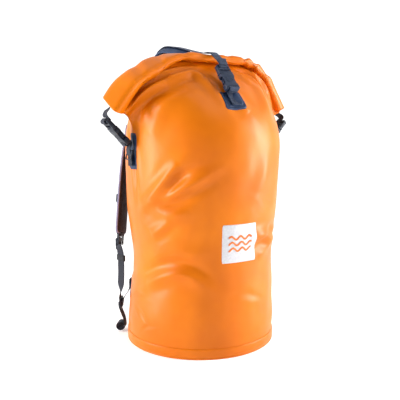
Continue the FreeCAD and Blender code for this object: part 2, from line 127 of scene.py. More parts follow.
def thicken(obj, gauge, offset=-1.0):
    """Give a sheet its thickness."""
    modifier = obj.modifiers.new("gauge", "SOLIDIFY")
    modifier.thickness = gauge
    modifier.offset = offset
    return bake(obj)


def subdivide(obj):
    """Split a mesh's faces once and smooth them."""
    modifier = obj.modifiers.new("smooth", "SUBSURF")
    modifier.levels = 1
    modifier.render_levels = 1
    return bake(obj)


def smoothstep(low, high, value):
    """A share that rises smoothly from 0 at low to 1 at high."""
    share = np.clip((value - low) / (high - low), 0.0, 1.0)
    return share * share * (3.0 - 2.0 * share)


def rounded(points, passes=3):
    """Soften a route by cutting its corners, its ends kept."""
    for _ in range(passes):
        softer = [points[0]]
        for first, second in zip(points, points[1:]):
            softer += [first.lerp(second, 0.25), first.lerp(second, 0.75)]
        points = softer + [points[-1]]
    return points


def evenly(points, pitch):
    """The same line with a point about every pitch."""
    spread = [points[0]]
    for first, second in zip(points, points[1:]):
        count = max(1, round((second - first).length / pitch))
        spread += [first.lerp(second, (k + 1) / count) for k in range(count)]
    return spread


def dress(obj, slot, material, *replaced):
    """Give a piece its material, and hide the CAD nodes that it stands for."""
    obj.data.materials.clear()
    obj.data.materials.append(material)
    if replaced:
        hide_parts(*replaced)
    return obj


def finish_piece(obj, body, slot, material, *replaced):
    """Put a piece on its body and dress it."""
    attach(obj, body)
    return dress(obj, slot, material, *replaced)


def finish_bending(obj, slot, material, replaced):
    """Dress a piece and bake its place into its mesh; it is put on no body."""
    dress(obj, slot, material, replaced)
    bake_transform(obj)


# ---------------------------------------------------------------- materials

def add_node(tree, kind, inputs=None, **settings):
    """A new shader node: its inputs are values, or sockets to link from."""
    item = tree.nodes.new(kind)
    for key, value in settings.items():
        setattr(item, key, value)
    for socket, value in (inputs or {}).items():
        if isinstance(value, bpy.types.NodeSocket):
            tree.links.new(value, item.inputs[socket])
        else:
            item.inputs[socket].default_value = value
    return item


class Recipe:
    """A small builder for one procedural material."""

    def __init__(self, name, roughness, metallic=0.0, **sockets):
        self.material = bpy.data.materials.new(name)
        self.material.use_nodes = True
        self.tree = self.material.node_tree
        self.shader = self.tree.nodes["Principled BSDF"]
        self.shader.inputs["Roughness"].default_value = roughness
        self.shader.inputs["Metallic"].default_value = metallic
        for socket, value in sockets.items():
            self.shader.inputs[socket.replace("_", " ")].default_value = value

    def node(self, kind, inputs=None, **settings):
        """A node of this material."""
        return add_node(self.tree, kind, inputs, **settings)

    def drive(self, socket, output):
        """Link an output to one of the shader's sockets."""
        self.tree.links.new(output, self.shader.inputs[socket])

    def math(self, operation, first, second=0.0):
        """The result of a sum on two values or outputs."""
        return self.node("ShaderNodeMath", {0: first, 1: second}, operation=operation).outputs[0]

    def noise(self, vector, scale, detail=4.0, roughness=0.55):
        """Cloudy noise, from 0 to 1."""
        inputs = {"Vector": vector, "Scale": scale, "Detail": detail, "Roughness": roughness}
        return self.node("ShaderNodeTexNoise", inputs).outputs["Fac"]

    def place(self):
        """The piece's own coordinates."""
        return self.node("ShaderNodeTexCoord").outputs["Object"]

    def attribute(self, name):
        """A vector stored on the mesh."""
        return self.node("ShaderNodeAttribute", attribute_name=name).outputs["Vector"]

    def split(self, vector):
        """The x, y and z of a vector."""
        return self.node("ShaderNodeSeparateXYZ", {0: vector}).outputs

    def colour(self, factor, *stops):
        """A colour ramp from a factor: stops are (position, colour)."""
        ramp = self.node("ShaderNodeValToRGB", {"Fac": factor})
        elements = ramp.color_ramp.elements
        for index, (position, rgb) in enumerate(stops):
            element = elements[index] if index < 2 else elements.new(position)
            element.position = position
            element.color = (*rgb, 1.0)
        self.drive("Base Color", ramp.outputs["Color"])

    def spread(self, factor, low, high):
        """Roughness from a factor, between two values."""
        spread = self.node("ShaderNodeMapRange", {"Value": factor, "To Min": low, "To Max": high})
        self.drive("Roughness", spread.outputs["Result"])

    def bump(self, *layers):
        """Stack bumps, each (height, strength, distance), and return the finished material."""
        normal = None
        for height, strength, distance in layers:
            inputs = {"Height": height, "Strength": strength, "Distance": distance}
            if normal is not None:
                inputs["Normal"] = normal
            normal = self.node("ShaderNodeBump", inputs).outputs["Normal"]
        self.drive("Normal", normal)
        return self.material


ORANGES = ((0.56, 0.120), (0.69, 0.170), (0.62, 0.143))
SCRIM_WARPS_ROUND = 1000.0
SCRIM_WEFTS = 6000.0
WEBBING_RIBS = 900.0
WEBBING_CHEVRONS = 110.0
WEBBING_PICKS = 2100.0


def tarpaulin(name="orange_tarpaulin", shade=1.0):
    """Coated orange tarpaulin: a fine scrim under a satin skin, with scuffs and soft blotches."""
    recipe = Recipe(name, 0.45, Specular_IOR_Level=0.12, Specular_Tint=(1.0, 0.6, 0.25, 1.0),
                    Coat_Weight=0.38, Coat_Roughness=0.35, Coat_Tint=(1.0, 0.97, 0.92, 1.0))
    place = recipe.place()
    x, y, z = recipe.split(place)
    blotch = recipe.noise(place, 7.0, 3.0)
    deep, pale, middle = [(red * shade, green * shade, 0.0) for red, green in ORANGES]
    recipe.colour(blotch, (0.30, deep), (0.72, pale), (0.52, middle))
    recipe.spread(recipe.noise(place, 38.0, 5.0), 0.40, 0.52)
    around = recipe.math("ARCTAN2", y, x)
    warp = recipe.math("SINE", recipe.math("MULTIPLY", around, SCRIM_WARPS_ROUND))
    weft = recipe.math("SINE", recipe.math("MULTIPLY", z, SCRIM_WEFTS))
    scrim = recipe.math("MULTIPLY", warp, weft)
    return recipe.bump((recipe.noise(place, 22.0, 4.0), 0.08, 0.004), (scrim, 0.05, 0.0003),
                       (recipe.noise(place, 420.0, 2.0), 0.05, 0.0004))


def webbing(name, dark, light):
    """Woven nylon webbing: a herringbone of warp ribs, from the piece's own along and across distances, with
    painted shade in the dips of the weave.
    """
    recipe = Recipe(name, 0.74, Sheen_Weight=0.12, Sheen_Roughness=0.5, Specular_IOR_Level=0.3,
                    Sheen_Tint=(0.75, 0.8, 1.0, 1.0))
    along, across, _ = recipe.split(recipe.attribute("weave"))
    rib = recipe.math("SINE", recipe.math("MULTIPLY", across, WEBBING_RIBS * math.pi))
    chevron = recipe.math("FRACT", recipe.math("MULTIPLY", across, WEBBING_CHEVRONS))
    slant = recipe.math("ABSOLUTE", recipe.math("SUBTRACT", chevron, 0.5))
    picks = recipe.math("MULTIPLY", along, WEBBING_PICKS)
    phase = recipe.math("ADD", picks, recipe.math("MULTIPLY", slant, 18.0))
    pick = recipe.math("SINE", phase)
    height = recipe.math("ADD", recipe.math("MULTIPLY", rib, 0.5), recipe.math("MULTIPLY", pick, 0.5))
    wear = recipe.noise(recipe.place(), 60.0, 4.0)
    # The colour follows the weave's height, so its dips are painted darker as shade between the threads; the
    # noise on top is random wear.
    weave_shade_and_wear = recipe.math("ADD", recipe.math("MULTIPLY", height, 0.22), wear)
    recipe.colour(weave_shade_and_wear, (0.25, dark), (0.85, light))
    return recipe.bump((height, 0.55, 0.0006), (wear, 0.2, 0.0006))


def moulded(name, dark, light, roughness=0.48, grain=900.0):
    """Injection-moulded nylon or rubber: a fine spark-eroded grain and paler rubbed places."""
    recipe = Recipe(name, roughness, Specular_IOR_Level=0.30)
    place = recipe.place()
    wear = recipe.noise(place, 90.0, 5.0)
    recipe.colour(wear, (0.35, dark), (0.75, light))
    recipe.spread(recipe.noise(place, 160.0, 3.0), roughness - 0.09, roughness + 0.09)
    return recipe.bump((recipe.noise(place, grain, 2.0), 0.22, 0.0003), (wear, 0.12, 0.0008))


def spacer_mesh():
    """Black air mesh over foam: round open cells in a knitted face, each cell painted darker towards its
    middle as shade inside the hole.
    """
    recipe = Recipe("pad_mesh", 0.85, Sheen_Weight=0.12, Sheen_Roughness=0.4, Specular_IOR_Level=0.15,
                    Sheen_Tint=(0.75, 0.8, 1.0, 1.0))
    place = recipe.place()
    cells = recipe.node("ShaderNodeTexVoronoi", {"Vector": place, "Scale": 330.0}).outputs["Distance"]
    # The cells are coloured darkest in their middles: painted shade inside the open holes, on the knit's own
    # near-black.
    recipe.colour(cells, (0.10, (0.004, 0.004, 0.006)), (0.55, (0.035, 0.035, 0.045)))
    return recipe.bump((cells, 0.7, 0.0012), (recipe.noise(place, 45.0, 4.0), 0.2, 0.003))


def badge_print(name, dark, light):
    """Silver-grey printed film with a fine satin tooth."""
    recipe = Recipe(name, 0.42, 0.15, Specular_IOR_Level=0.5)
    place = recipe.place()
    tooth = recipe.noise(place, 260.0, 4.0)
    recipe.colour(tooth, (0.3, dark), (0.7, light))
    return recipe.bump((tooth, 0.08, 0.0003), (recipe.noise(place, 24.0, 2.0), 0.08, 0.003))


# ---------------------------------------------------------------- the arch of the roll

ARCH_FLAT = 0.076
ARCH_RADIUS = 0.140
ARCH_DROOP = math.radians(60.0)
ARCH_TAIL = 0.055
ARCH_HALF = ARCH_FLAT + ARCH_RADIUS * ARCH_DROOP + ARCH_TAIL
ARCH_LEVEL = ROLL_TOP - ROLL_GAUGE / 2.0


def arch(distance):
    """Point and outward normal, both (x, z), of the roll's middle line, a signed distance from its middle."""
    side = 1.0 if distance >= 0 else -1.0
    run = abs(distance)
    turn = min(max(run - ARCH_FLAT, 0.0) / ARCH_RADIUS, ARCH_DROOP)
    tail = max(run - ARCH_FLAT - ARCH_RADIUS * ARCH_DROOP, 0.0)
    x = min(run, ARCH_FLAT) + ARCH_RADIUS * math.sin(turn) + tail * math.cos(turn)
    z = ARCH_LEVEL - ARCH_RADIUS * (1.0 - math.cos(turn)) - tail * math.sin(turn)
    return (side * x, z), (side * math.sin(turn), math.cos(turn))


# ---------------------------------------------------------------- body

SHELL_COLUMNS = 144
SHELL_ROWS = 112
NECK_START = 0.445
NECK_LENGTH = 0.262
TUBE_LENGTH = NECK_START + NECK_LENGTH
SETTLE_FRAMES = 20
BODY_HOLD = 0.25
CLOTH = {"quality": 6, "mass": 0.3, "tension_stiffness": 40.0, "compression_stiffness": 40.0,
         "shear_stiffness": 15.0, "bending_stiffness": 0.5, "vertex_group_mass": "held",
         "use_pressure": True, "uniform_pressure_force": 5.0}
SKIN_GAUGE = 0.0009

# Creases in the filled body: angle and level of the middle (degrees, metres), slope in degrees from level,
# half length, half width and depth in metres, and how far the crest leans to one side.
CREASES = [
    (-132.0, 0.385, 38.0, 0.044, 0.0160, 0.0030, 0.6),
    (-172.0, 0.078, -32.0, 0.034, 0.0080, 0.0024, 0.7),
    (-164.0, 0.052, 28.0, 0.030, 0.0070, 0.0022, 0.7),
    (-178.0, 0.118, 12.0, 0.040, 0.0090, 0.0022, 0.7),
    (-84.0, 0.126, -10.0, 0.052, 0.0140, 0.0018, 0.8),
    (-52.0, 0.262, 16.0, 0.046, 0.0150, 0.0026, 0.8),
    (-38.0, 0.238, -20.0, 0.046, 0.0120, 0.0028, 0.8),
    (-66.0, 0.330, -30.0, 0.052, 0.0160, 0.0016, 0.8),
    (20.0, 0.252, 10.0, 0.060, 0.0120, 0.0042, 0.9),
    (34.0, 0.355, -28.0, 0.062, 0.0125, 0.0036, 0.8),
    (62.0, 0.190, 18.0, 0.070, 0.0130, 0.0040, 0.9),
    (84.0, 0.300, -12.0, 0.070, 0.0140, 0.0036, 0.8),
    (112.0, 0.215, -20.0, 0.060, 0.0125, 0.0038, 0.9),
    (128.0, 0.335, 26.0, 0.056, 0.0120, 0.0032, 0.8),
    (150.0, 0.150, -12.0, 0.052, 0.0120, 0.0030, 0.8),
]
WAIST_LEVEL = 0.205
WAIST_DEPTH = 0.0075
# Where the filled body swells or draws in: angle and level of the middle, spread in degrees and metres, and
# how far outward in metres.
SWELLS = [
    (-40.0, 0.455, 34.0, 0.095, 0.0130),
    (-40.0, 0.300, 32.0, 0.090, 0.0070),
    (-38.0, 0.150, 30.0, 0.070, 0.0035),
    (-38.0, 0.035, 40.0, 0.035, 0.0040),
    (-95.0, 0.420, 34.0, 0.080, 0.0040),
    (160.0, 0.420, 22.0, 0.090, 0.0030),
    (158.0, 0.150, 26.0, 0.070, -0.0060),
    (-160.0, 0.150, 20.0, 0.060, -0.0030),
    (60.0, 0.380, 40.0, 0.100, 0.0040),
]


def shell_start():
    """The tube drawn in from the round body to the rolled neck, and the same tube straight, as it was cut."""
    shaped, plain = [], []
    for row in range(SHELL_ROWS):
        along = row / (SHELL_ROWS - 1) * TUBE_LENGTH
        for column in range(SHELL_COLUMNS):
            angle = -math.pi + 2.0 * math.pi * column / SHELL_COLUMNS
            x, y = math.cos(angle), math.sin(angle)
            plain.append((BAG_RADIUS * x, BAG_RADIUS * y, along))
            if along <= NECK_START:
                shaped.append(plain[-1])
                continue
            share = (along - NECK_START) / NECK_LENGTH
            spread = (0.5 - abs(angle) / math.pi) * 2.0
            (end_x, end_z), (norm_x, norm_z) = arch(spread * (ARCH_HALF - 0.006))
            side = 1.0 if y >= 0 else -1.0
            depth = abs(y)
            start = Vector((BAG_RADIUS * x, BAG_RADIUS * y, NECK_START))
            end = Vector((end_x - norm_x * 0.010, ROLL_Y + side * 0.004 * depth, end_z - norm_z * 0.010))
            reach = (end - start).length
            lift = start + Vector((0, 0, 1)) * reach * 0.42
            enter = end - Vector((norm_x * 0.5, -side * 0.85 * depth, norm_z * 0.62)) * reach * 0.33
            rest = 1.0 - share
            shaped.append(start * rest ** 3 + lift * 3 * rest * rest * share
                          + enter * 3 * rest * share * share + end * share ** 3)
    return np.array([tuple(v) for v in shaped]), np.array(plain)


def tuck_sides(shaped, plain):
    """Start the pleats: the side panels are tucked in under the ends of the roll."""
    along = plain[:, 2]
    angle = np.arctan2(plain[:, 1], plain[:, 0])
    for centre, depth in ((0.0, 0.006), (math.pi, 0.010)):
        off = np.abs(np.angle(np.exp(1j * (angle - centre))))
        tuck = np.exp(-(off / 0.30) ** 2) * smoothstep(0.47, 0.60, along)
        tuck *= 1.0 - smoothstep(0.665, TUBE_LENGTH, along)
        shaped[:, 0] -= math.cos(centre) * depth * tuck


def settle(obj, plain):
    """Let the tube settle as coated fabric with air inside, held at the base and along the roll."""
    group = obj.vertex_groups.new(name="held")
    for index, level in enumerate(plain[:, 2]):
        weight = BODY_HOLD * (1.0 - float(smoothstep(0.33, 0.50, level)))
        if level < 0.03 or level > TUBE_LENGTH - 0.004:
            weight = 1.0
        group.add([index], weight, "REPLACE")
    obj.shape_key_add(name="Basis")
    cut = obj.shape_key_add(name="cut")
    cut.data.foreach_set("co", plain.astype(np.float32).ravel())
    cut.value = 0.0
    modifier = obj.modifiers.new("settle", "CLOTH")
    cloth = modifier.settings
    for key, value in CLOTH.items():
        setattr(cloth, key, value)
    cloth.rest_shape_key = cut
    cloth.effector_weights.gravity = 0.0
    modifier.collision_settings.use_collision = False
    modifier.collision_settings.use_self_collision = False
    modifier.point_cache.frame_start = 1
    modifier.point_cache.frame_end = SETTLE_FRAMES
    scene = bpy.context.scene
    scene.frame_start, scene.frame_end = 1, SETTLE_FRAMES
    for number in range(1, SETTLE_FRAMES + 1):
        scene.frame_set(number)
    bake(obj)
    scene.frame_set(1)


def crease_field(angle, level):
    """How far each point of the filled body moves inward, from the list of creases."""
    total = np.zeros_like(angle)
    for middle, height, slope, half_length, half_width, depth, lean in CREASES:
        off = np.angle(np.exp(1j * (angle - math.radians(middle)))) * BAG_RADIUS
        rise = level - height
        turn = math.radians(slope)
        along = off * math.cos(turn) + rise * math.sin(turn)
        across = -off * math.sin(turn) + rise * math.cos(turn)
        across = across + 0.16 * along * along / half_length
        taper = np.exp(-(along / half_length) ** 2 * 1.6)
        across = across / (half_width * (0.55 + 0.45 * taper))
        valley = np.exp(-(across - 0.55) ** 2 * 2.2)
        crest = np.exp(-(across + 0.75) ** 2 * 1.3)
        total += depth * taper * (valley - 0.55 * lean * crest)
    return total


def shape_body(obj):
    """Waist, creases and slow unevenness in the filled part of the body."""
    co = coordinates(obj.data)
    angle = np.arctan2(co[:, 1], co[:, 0])
    level = co[:, 2]
    body = 1.0 - smoothstep(0.44, 0.52, level)
    low = smoothstep(0.026, 0.07, level)
    waist = WAIST_DEPTH * np.exp(-((level - WAIST_LEVEL) / 0.085) ** 2)
    waist *= 1.0 + 0.30 * np.cos(angle * 2.0 + 0.4)
    slow = np.array([noise.noise(Vector((math.cos(a) * 1.6, math.sin(a) * 1.6, z * 7.0 + 4.0)))
                     for a, z in zip(angle, level)])
    fine = np.array([noise.noise(Vector((math.cos(a) * 5.0, math.sin(a) * 5.0, z * 22.0)))
                     for a, z in zip(angle, level)])
    swell = np.zeros_like(angle)
    for middle, height, turn, rise, outward in SWELLS:
        off = np.degrees(np.angle(np.exp(1j * (angle - math.radians(middle))))) / turn
        swell += outward * np.exp(-off ** 2 - ((level - height) / rise) ** 2)
    inward = (waist + crease_field(angle, level) + 0.0030 * slow + 0.0009 * fine) * body * low
    outward_ways = np.stack([np.cos(angle), np.sin(angle), np.zeros_like(angle)], axis=1)
    move_vertices(obj.data, co + outward_ways * (swell * low - inward)[:, None])


# Folds of the skin: the crest's line in metres, its half width and height, and how deep the skin dips above
# and below it, as shares of the height.
FOLDS = [
    (((-0.197, -0.028, 0.516), (-0.183, -0.034, 0.538), (-0.163, -0.047, 0.560), (-0.142, -0.062, 0.576),
      (-0.122, -0.068, 0.584)), 0.0082, 0.0130, 0.9, 1.0),
    (((-0.150, -0.040, 0.594), (-0.115, -0.050, 0.604), (-0.078, -0.050, 0.614), (-0.036, -0.046, 0.620)),
     0.0065, 0.0070, 0.5, 0.9),
    (((-0.116, -0.062, 0.592), (-0.082, -0.068, 0.600), (-0.056, -0.064, 0.605), (-0.042, -0.086, 0.592)),
     0.0105, 0.0095, 0.6, 1.0),
    (((-0.152, -0.066, 0.548), (-0.118, -0.082, 0.566), (-0.086, -0.090, 0.574)), 0.0130, -0.0070, 0.5, 0.6),
    (((-0.046, -0.070, 0.600), (-0.036, -0.097, 0.582), (-0.033, -0.122, 0.558), (-0.024, -0.145, 0.530)),
     0.0110, 0.0050, 1.0, 0.4),
    (((-0.160, -0.060, 0.470), (-0.150, -0.074, 0.500), (-0.142, -0.080, 0.530), (-0.128, -0.084, 0.552)),
     0.0190, 0.0030, 0.2, 0.5),
    (((0.030, -0.150, 0.520), (0.014, -0.140, 0.540), (0.008, -0.120, 0.560)), 0.0140, 0.0040, 0.8, 0.6),
    (((0.080, -0.120, 0.500), (0.096, -0.098, 0.545), (0.104, -0.070, 0.585)), 0.0150, 0.0055, 0.8, 0.8),
    (((0.070, -0.050, 0.628), (0.106, -0.050, 0.612), (0.120, -0.064, 0.590), (0.128, -0.072, 0.566)),
     0.0060, -0.0085, 0.7, 0.7),
    (((0.110, -0.046, 0.618), (0.136, -0.046, 0.602), (0.150, -0.052, 0.580), (0.156, -0.060, 0.552)),
     0.0070, 0.0080, 0.7, 0.4),
    (((0.030, -0.052, 0.622), (0.062, -0.062, 0.612), (0.086, -0.084, 0.590)), 0.0085, 0.0050, 0.4, 0.6),
    (((0.160, -0.040, 0.560), (0.172, -0.036, 0.530), (0.172, -0.030, 0.500)), 0.0080, 0.0050, 0.4, 0.6),
    (((-0.171, 0.014, 0.480), (-0.174, -0.003, 0.441), (-0.173, -0.013, 0.409), (-0.170, -0.016, 0.340)),
     0.0080, -0.0050, 0.7, 0.9),
    (((-0.165, -0.046, 0.330), (-0.150, -0.089, 0.368), (-0.136, -0.107, 0.396), (-0.122, -0.121, 0.416)),
     0.0125, 0.0084, 0.3, 1.0),
    (((-0.163, -0.052, 0.326), (-0.140, -0.098, 0.346), (-0.104, -0.136, 0.372), (-0.064, -0.160, 0.400)),
     0.0125, 0.0082, 0.3, 1.0),
    (((-0.158, -0.062, 0.322), (-0.138, -0.100, 0.310), (-0.104, -0.132, 0.312)), 0.0140, 0.0054, 0.8, 0.4),
    (((-0.158, -0.060, 0.262), (-0.146, -0.080, 0.276), (-0.130, -0.104, 0.296)), 0.0105, 0.0046, 0.4, 0.9),
    (((-0.160, -0.036, 0.150), (-0.145, -0.078, 0.173), (-0.123, -0.108, 0.184), (-0.103, -0.130, 0.182),
      (-0.078, -0.146, 0.160)), 0.0135, 0.0080, 1.4, 0.4),
    (((-0.060, -0.158, 0.236), (-0.100, -0.136, 0.224), (-0.130, -0.106, 0.236)), 0.0160, 0.0022, 0.5, 0.7),
    (((0.024, -0.164, 0.250), (0.066, -0.154, 0.262), (0.104, -0.134, 0.240)), 0.0130, 0.0072, 0.5, 1.1),
    (((0.050, -0.158, 0.212), (0.084, -0.144, 0.224), (0.116, -0.120, 0.250)), 0.0120, 0.0040, 0.9, 0.4),
    (((0.036, -0.168, 0.330), (0.058, -0.165, 0.380), (0.070, -0.160, 0.430)), 0.0200, 0.0030, 0.6, 0.6),
    (((0.150, 0.078, 0.560), (0.120, 0.090, 0.585), (0.070, 0.080, 0.605)), 0.0080, 0.0070, 0.6, 0.8),
    (((-0.150, 0.070, 0.555), (-0.118, 0.090, 0.580), (-0.060, 0.086, 0.602)), 0.0080, 0.0070, 0.6, 0.8),
]


def fold_skin(obj):
    """Raise the folds out of the settled skin, each along its own line."""
    co, normals = coordinates(obj.data), coordinates(obj.data, "normal")
    shift = np.zeros(len(co))
    for route, half_width, height, above, below in FOLDS:
        line = np.array(evenly(rounded([Vector(p) for p in route], 3), 0.003))
        ways = np.gradient(line, axis=0)
        ways /= np.linalg.norm(ways, axis=1)[:, None]
        near = np.where(np.linalg.norm(co - line.mean(axis=0), axis=1) < 0.12)[0]
        gaps = co[near][:, None, :] - line[None, :, :]
        nearest = np.linalg.norm(gaps, axis=2).argmin(axis=1)
        offset = gaps[np.arange(len(near)), nearest]
        way = ways[nearest]
        across = np.einsum("ij,ij->i", offset, np.cross(normals[near], way)) / half_width
        beyond = np.einsum("ij,ij->i", offset, way) / (2.0 * half_width)
        share = nearest / (len(line) - 1)
        taper = np.sin(np.pi * np.clip(share, 0.04, 0.96)) ** 0.7 * np.exp(-beyond ** 2)
        depth = np.einsum("ij,ij->i", offset, normals[near]) / (4.0 * half_width)
        crest = np.exp(-np.abs(across) ** 1.6)
        dips = above * np.exp(-(across - 1.7) ** 2 * 1.1) + below * np.exp(-(across + 1.7) ** 2 * 1.1)
        shift[near] += height * taper * np.exp(-depth ** 2) * (crest - 0.6 * dips)
    move_vertices(obj.data, co + normals * shift[:, None])


def make_shell():
    """The bag's skin: settled as cloth, then shaped and folded."""
    shaped, plain = shell_start()
    tuck_sides(shaped, plain)
    obj = link("bag_body", shaped, grid_faces(SHELL_ROWS, SHELL_COLUMNS, True))
    settle(obj, plain)
    subdivide(obj)
    shape_body(obj)
    fold_skin(obj)
    return obj


# ---------------------------------------------------------------- roll

ROLL_TURNS = 2.75
ROLL_STEPS = 168
ROLL_SPANS = 280
ROLL_SINK = 0.0020
LEFT_SINK = 0.0125
LEFT_LIFT = 0.0190
ROLL_HALF_WIDTH = 0.0300
ROLL_HALF_HEIGHT = 0.0112
LEFT_TWIST = math.radians(27.0)
RIGHT_END = 0.010
LEFT_END = 0.008
END_SLOPE = 0.55
# Pinches across the roll: distance from its middle, half width and depth.
ROLL_PINCHES = ((-0.176, 0.012, 0.0030), (-0.118, 0.009, 0.0020), (-0.058, 0.010, 0.0026),
                (0.052, 0.009, 0.0024), (0.098, 0.008, 0.0050), (0.128, 0.009, 0.0060),
                (0.172, 0.010, 0.0040))
BOARD_HALF = (0.0200, 0.0007)


def roll_section(step, spread):
    """A point of the flattened spiral, across and up from its middle line; spread opens the turns."""
    turn = step * ROLL_TURNS
    half_width = ROLL_HALF_WIDTH - 0.0021 * turn
    half_height = (ROLL_HALF_HEIGHT - 0.0031 * turn) * (1.0 + 0.35 * spread)
    angle = -math.pi / 2.0 - turn * 2.0 * math.pi
    cos, sin = math.cos(angle), math.sin(angle)
    across = half_width * math.copysign(abs(cos) ** 0.42, cos)
    up = half_height * math.copysign(abs(sin) ** 0.90, sin) * (1.0 + 0.25 * cos)
    return -across, up


def roll_offsets(distance, across, up, step):
    """Press, puff, twist and pinch the roll along its length."""
    left = float(smoothstep(0.055, 0.165, -distance))
    right = float(smoothstep(0.070, 0.240, distance))
    press = math.exp(-(distance / 0.017) ** 2)
    skin = 1.0 - step
    up *= 1.0 - 0.16 * press + 0.10 * math.sin(distance * 31.0 + 0.7) + 0.26 * left
    across *= 1.0 - 0.28 * right + 0.03 * math.sin(distance * 23.0)
    for middle, width, depth in ROLL_PINCHES:
        off = (distance - middle - 0.35 * across) / width
        up -= depth * skin * math.exp(-off * off) * (1.0 if up > 0 else -0.6)
        up += 0.45 * depth * skin * math.exp(-(off - 1.7) ** 2) * (1.0 if up > 0 else -0.6)
    wobble = noise.noise(Vector((distance * 22.0, across * 30.0, step * 3.0)))
    up += skin * 0.0022 * wobble
    across += skin * 0.0020 * noise.noise(Vector((distance * 30.0, 5.0, step * 4.0)))
    twist = LEFT_TWIST * left - 0.22 * right
    cos, sin = math.cos(twist), math.sin(twist)
    across, up = across * cos - up * sin, across * sin + up * cos
    tip = float(smoothstep(0.130, 0.270, -distance))
    sink = ROLL_SINK + LEFT_SINK * left - LEFT_LIFT * tip + 0.0090 * right
    return across + 0.0075 * right, up - sink


def make_roll():
    """The neck rolled up over its stiff strip, along the arch."""
    verts = []
    for span in range(ROLL_SPANS + 1):
        share = span / ROLL_SPANS * 2.0 - 1.0
        reach = ARCH_HALF - 0.003 - (RIGHT_END if share > 0 else LEFT_END)
        spread = abs(share) ** 10
        for index in range(ROLL_STEPS + 1):
            step = index / ROLL_STEPS
            across, up = roll_section(step, spread)
            slip = 0.0045 * math.sin(step * 9.0 + 0.5) * abs(share) ** 12
            distance = share * (reach + slip)
            across, up = roll_offsets(distance, across, up, step)
            (x, z), (norm_x, norm_z) = arch(distance)
            slope = END_SLOPE * across * float(smoothstep(0.60, 1.0, abs(share)))
            slope *= 1.0 if share < 0 else 0.5
            lift_x, lift_z = norm_x * up + norm_z * slope, norm_z * up - norm_x * slope
            verts.append((x + lift_x, ROLL_Y + across, z + lift_z))
    obj = link("rolled_neck", verts, grid_faces(ROLL_SPANS + 1, ROLL_STEPS + 1, False))
    return thicken(obj, SKIN_GAUGE, 0.0)


def make_lip_board():
    """The stiff strip rolled up in the middle of the neck."""
    verts = []
    half_width, half_gauge = BOARD_HALF
    for span in range(ROLL_SPANS + 1):
        distance = (span / ROLL_SPANS * 2.0 - 1.0) * (ARCH_HALF - 0.020)
        (x, z), (norm_x, norm_z) = arch(distance)
        for way_across, way_up in ((-1, -1), (1, -1), (1, 1), (-1, 1)):
            across, up = roll_offsets(distance, way_across * half_width, way_up * half_gauge, 1.0)
            verts.append((x + norm_x * up, ROLL_Y + across, z + norm_z * up))
    return link("lip_board", verts, tube_faces(ROLL_SPANS + 1, 4), False)


# ---------------------------------------------------------------- stage

FLOOR = 30.0
FLOOR_GLOW = (0.26, 0.62)
GLOW_RISE = (1.2, 3.2)
CAMERA_PLACE = (-0.685, -1.14, 0.484)
CAMERA_PITCH = 83.0
CAMERA_TURN = -31.0
CAMERA_LENS = 51.5
CAMERA_SENSOR = 36.0
SKY_FRONT_LEVEL = 0.06
# Layers of the sky: the way each faces, where along it the layer starts and is full, and how much it adds.
SKY_LAYERS = (
    ((0.515, 0.857, 0.0), -0.15, 0.55, 0.66),
    ((0, 0, 1), 0.15, 0.85, 0.20),
    ((0, 0, -1), -0.50, -0.22, 0.52),
)
# Softboxes: name, place, what it aims at, width and height, and watts.
SOFTBOXES = (
    ("left_softbox", (-2.28, 0.58, 0.85), (0, 0, 0.36), (0.76, 1.9), 84.0),
    ("right_softbox", (2.06, -1.28, 0.85), (0, 0, 0.36), (0.54, 1.9), 96.0),
    ("top_softbox", (0.25, -1.05, 2.45), (0, 0, 0.50), (1.2, 1.2), 9.0),
)


def make_floor():
    """A pale floor that glows a little more far from the bag, as a lit studio sweep does."""
    corners = [(x * FLOOR, y * FLOOR, 0) for x, y in ((-1, -1), (1, -1), (1, 1), (-1, 1))]
    floor = link("floor", corners, [(0, 1, 2, 3)])
    recipe = Recipe("pale_floor", 0.9, Base_Color=(0.96, 0.96, 0.96, 1), Emission_Color=(1, 1, 1, 1))
    spot = recipe.node("ShaderNodeNewGeometry").outputs["Position"]
    reach = recipe.node("ShaderNodeVectorMath", {0: spot}, operation="LENGTH").outputs["Value"]
    inputs = {"Value": reach, "From Min": GLOW_RISE[0], "From Max": GLOW_RISE[1], "To Min": FLOOR_GLOW[0],
              "To Max": FLOOR_GLOW[1]}
    recipe.drive("Emission Strength", recipe.node("ShaderNodeMapRange", inputs).outputs["Result"])
    floor.data.materials.append(recipe.material)


def make_sky():
    """A soft sky: brightest behind the bag as the camera sees it, and pale near the horizon."""
    world = bpy.data.worlds.new("studio")
    bpy.context.scene.world = world
    world.use_nodes = True
    tree = world.node_tree
    sky = tree.nodes["Background"]
    sky.inputs["Color"].default_value = (1, 1, 1, 1)
    place = add_node(tree, "ShaderNodeTexCoord").outputs["Generated"]
    level = SKY_FRONT_LEVEL
    for way, low, high, gain in SKY_LAYERS:
        facing = add_node(tree, "ShaderNodeVectorMath", {0: place, 1: way}, operation="DOT_PRODUCT")
        inputs = {"Value": facing.outputs["Value"], "From Min": low, "From Max": high, "To Max": gain}
        layer = add_node(tree, "ShaderNodeMapRange", inputs, interpolation_type="SMOOTHSTEP")
        level = add_node(tree, "ShaderNodeMath", {0: layer.outputs["Result"], 1: level}).outputs[0]
    tree.links.new(level, sky.inputs["Strength"])


def add_to_scene(name, data, place, turn):
    """A camera or light at its place."""
    obj = bpy.data.objects.new(name, data)
    obj.location = place
    obj.rotation_euler = turn
    bpy.context.scene.collection.objects.link(obj)
    return obj


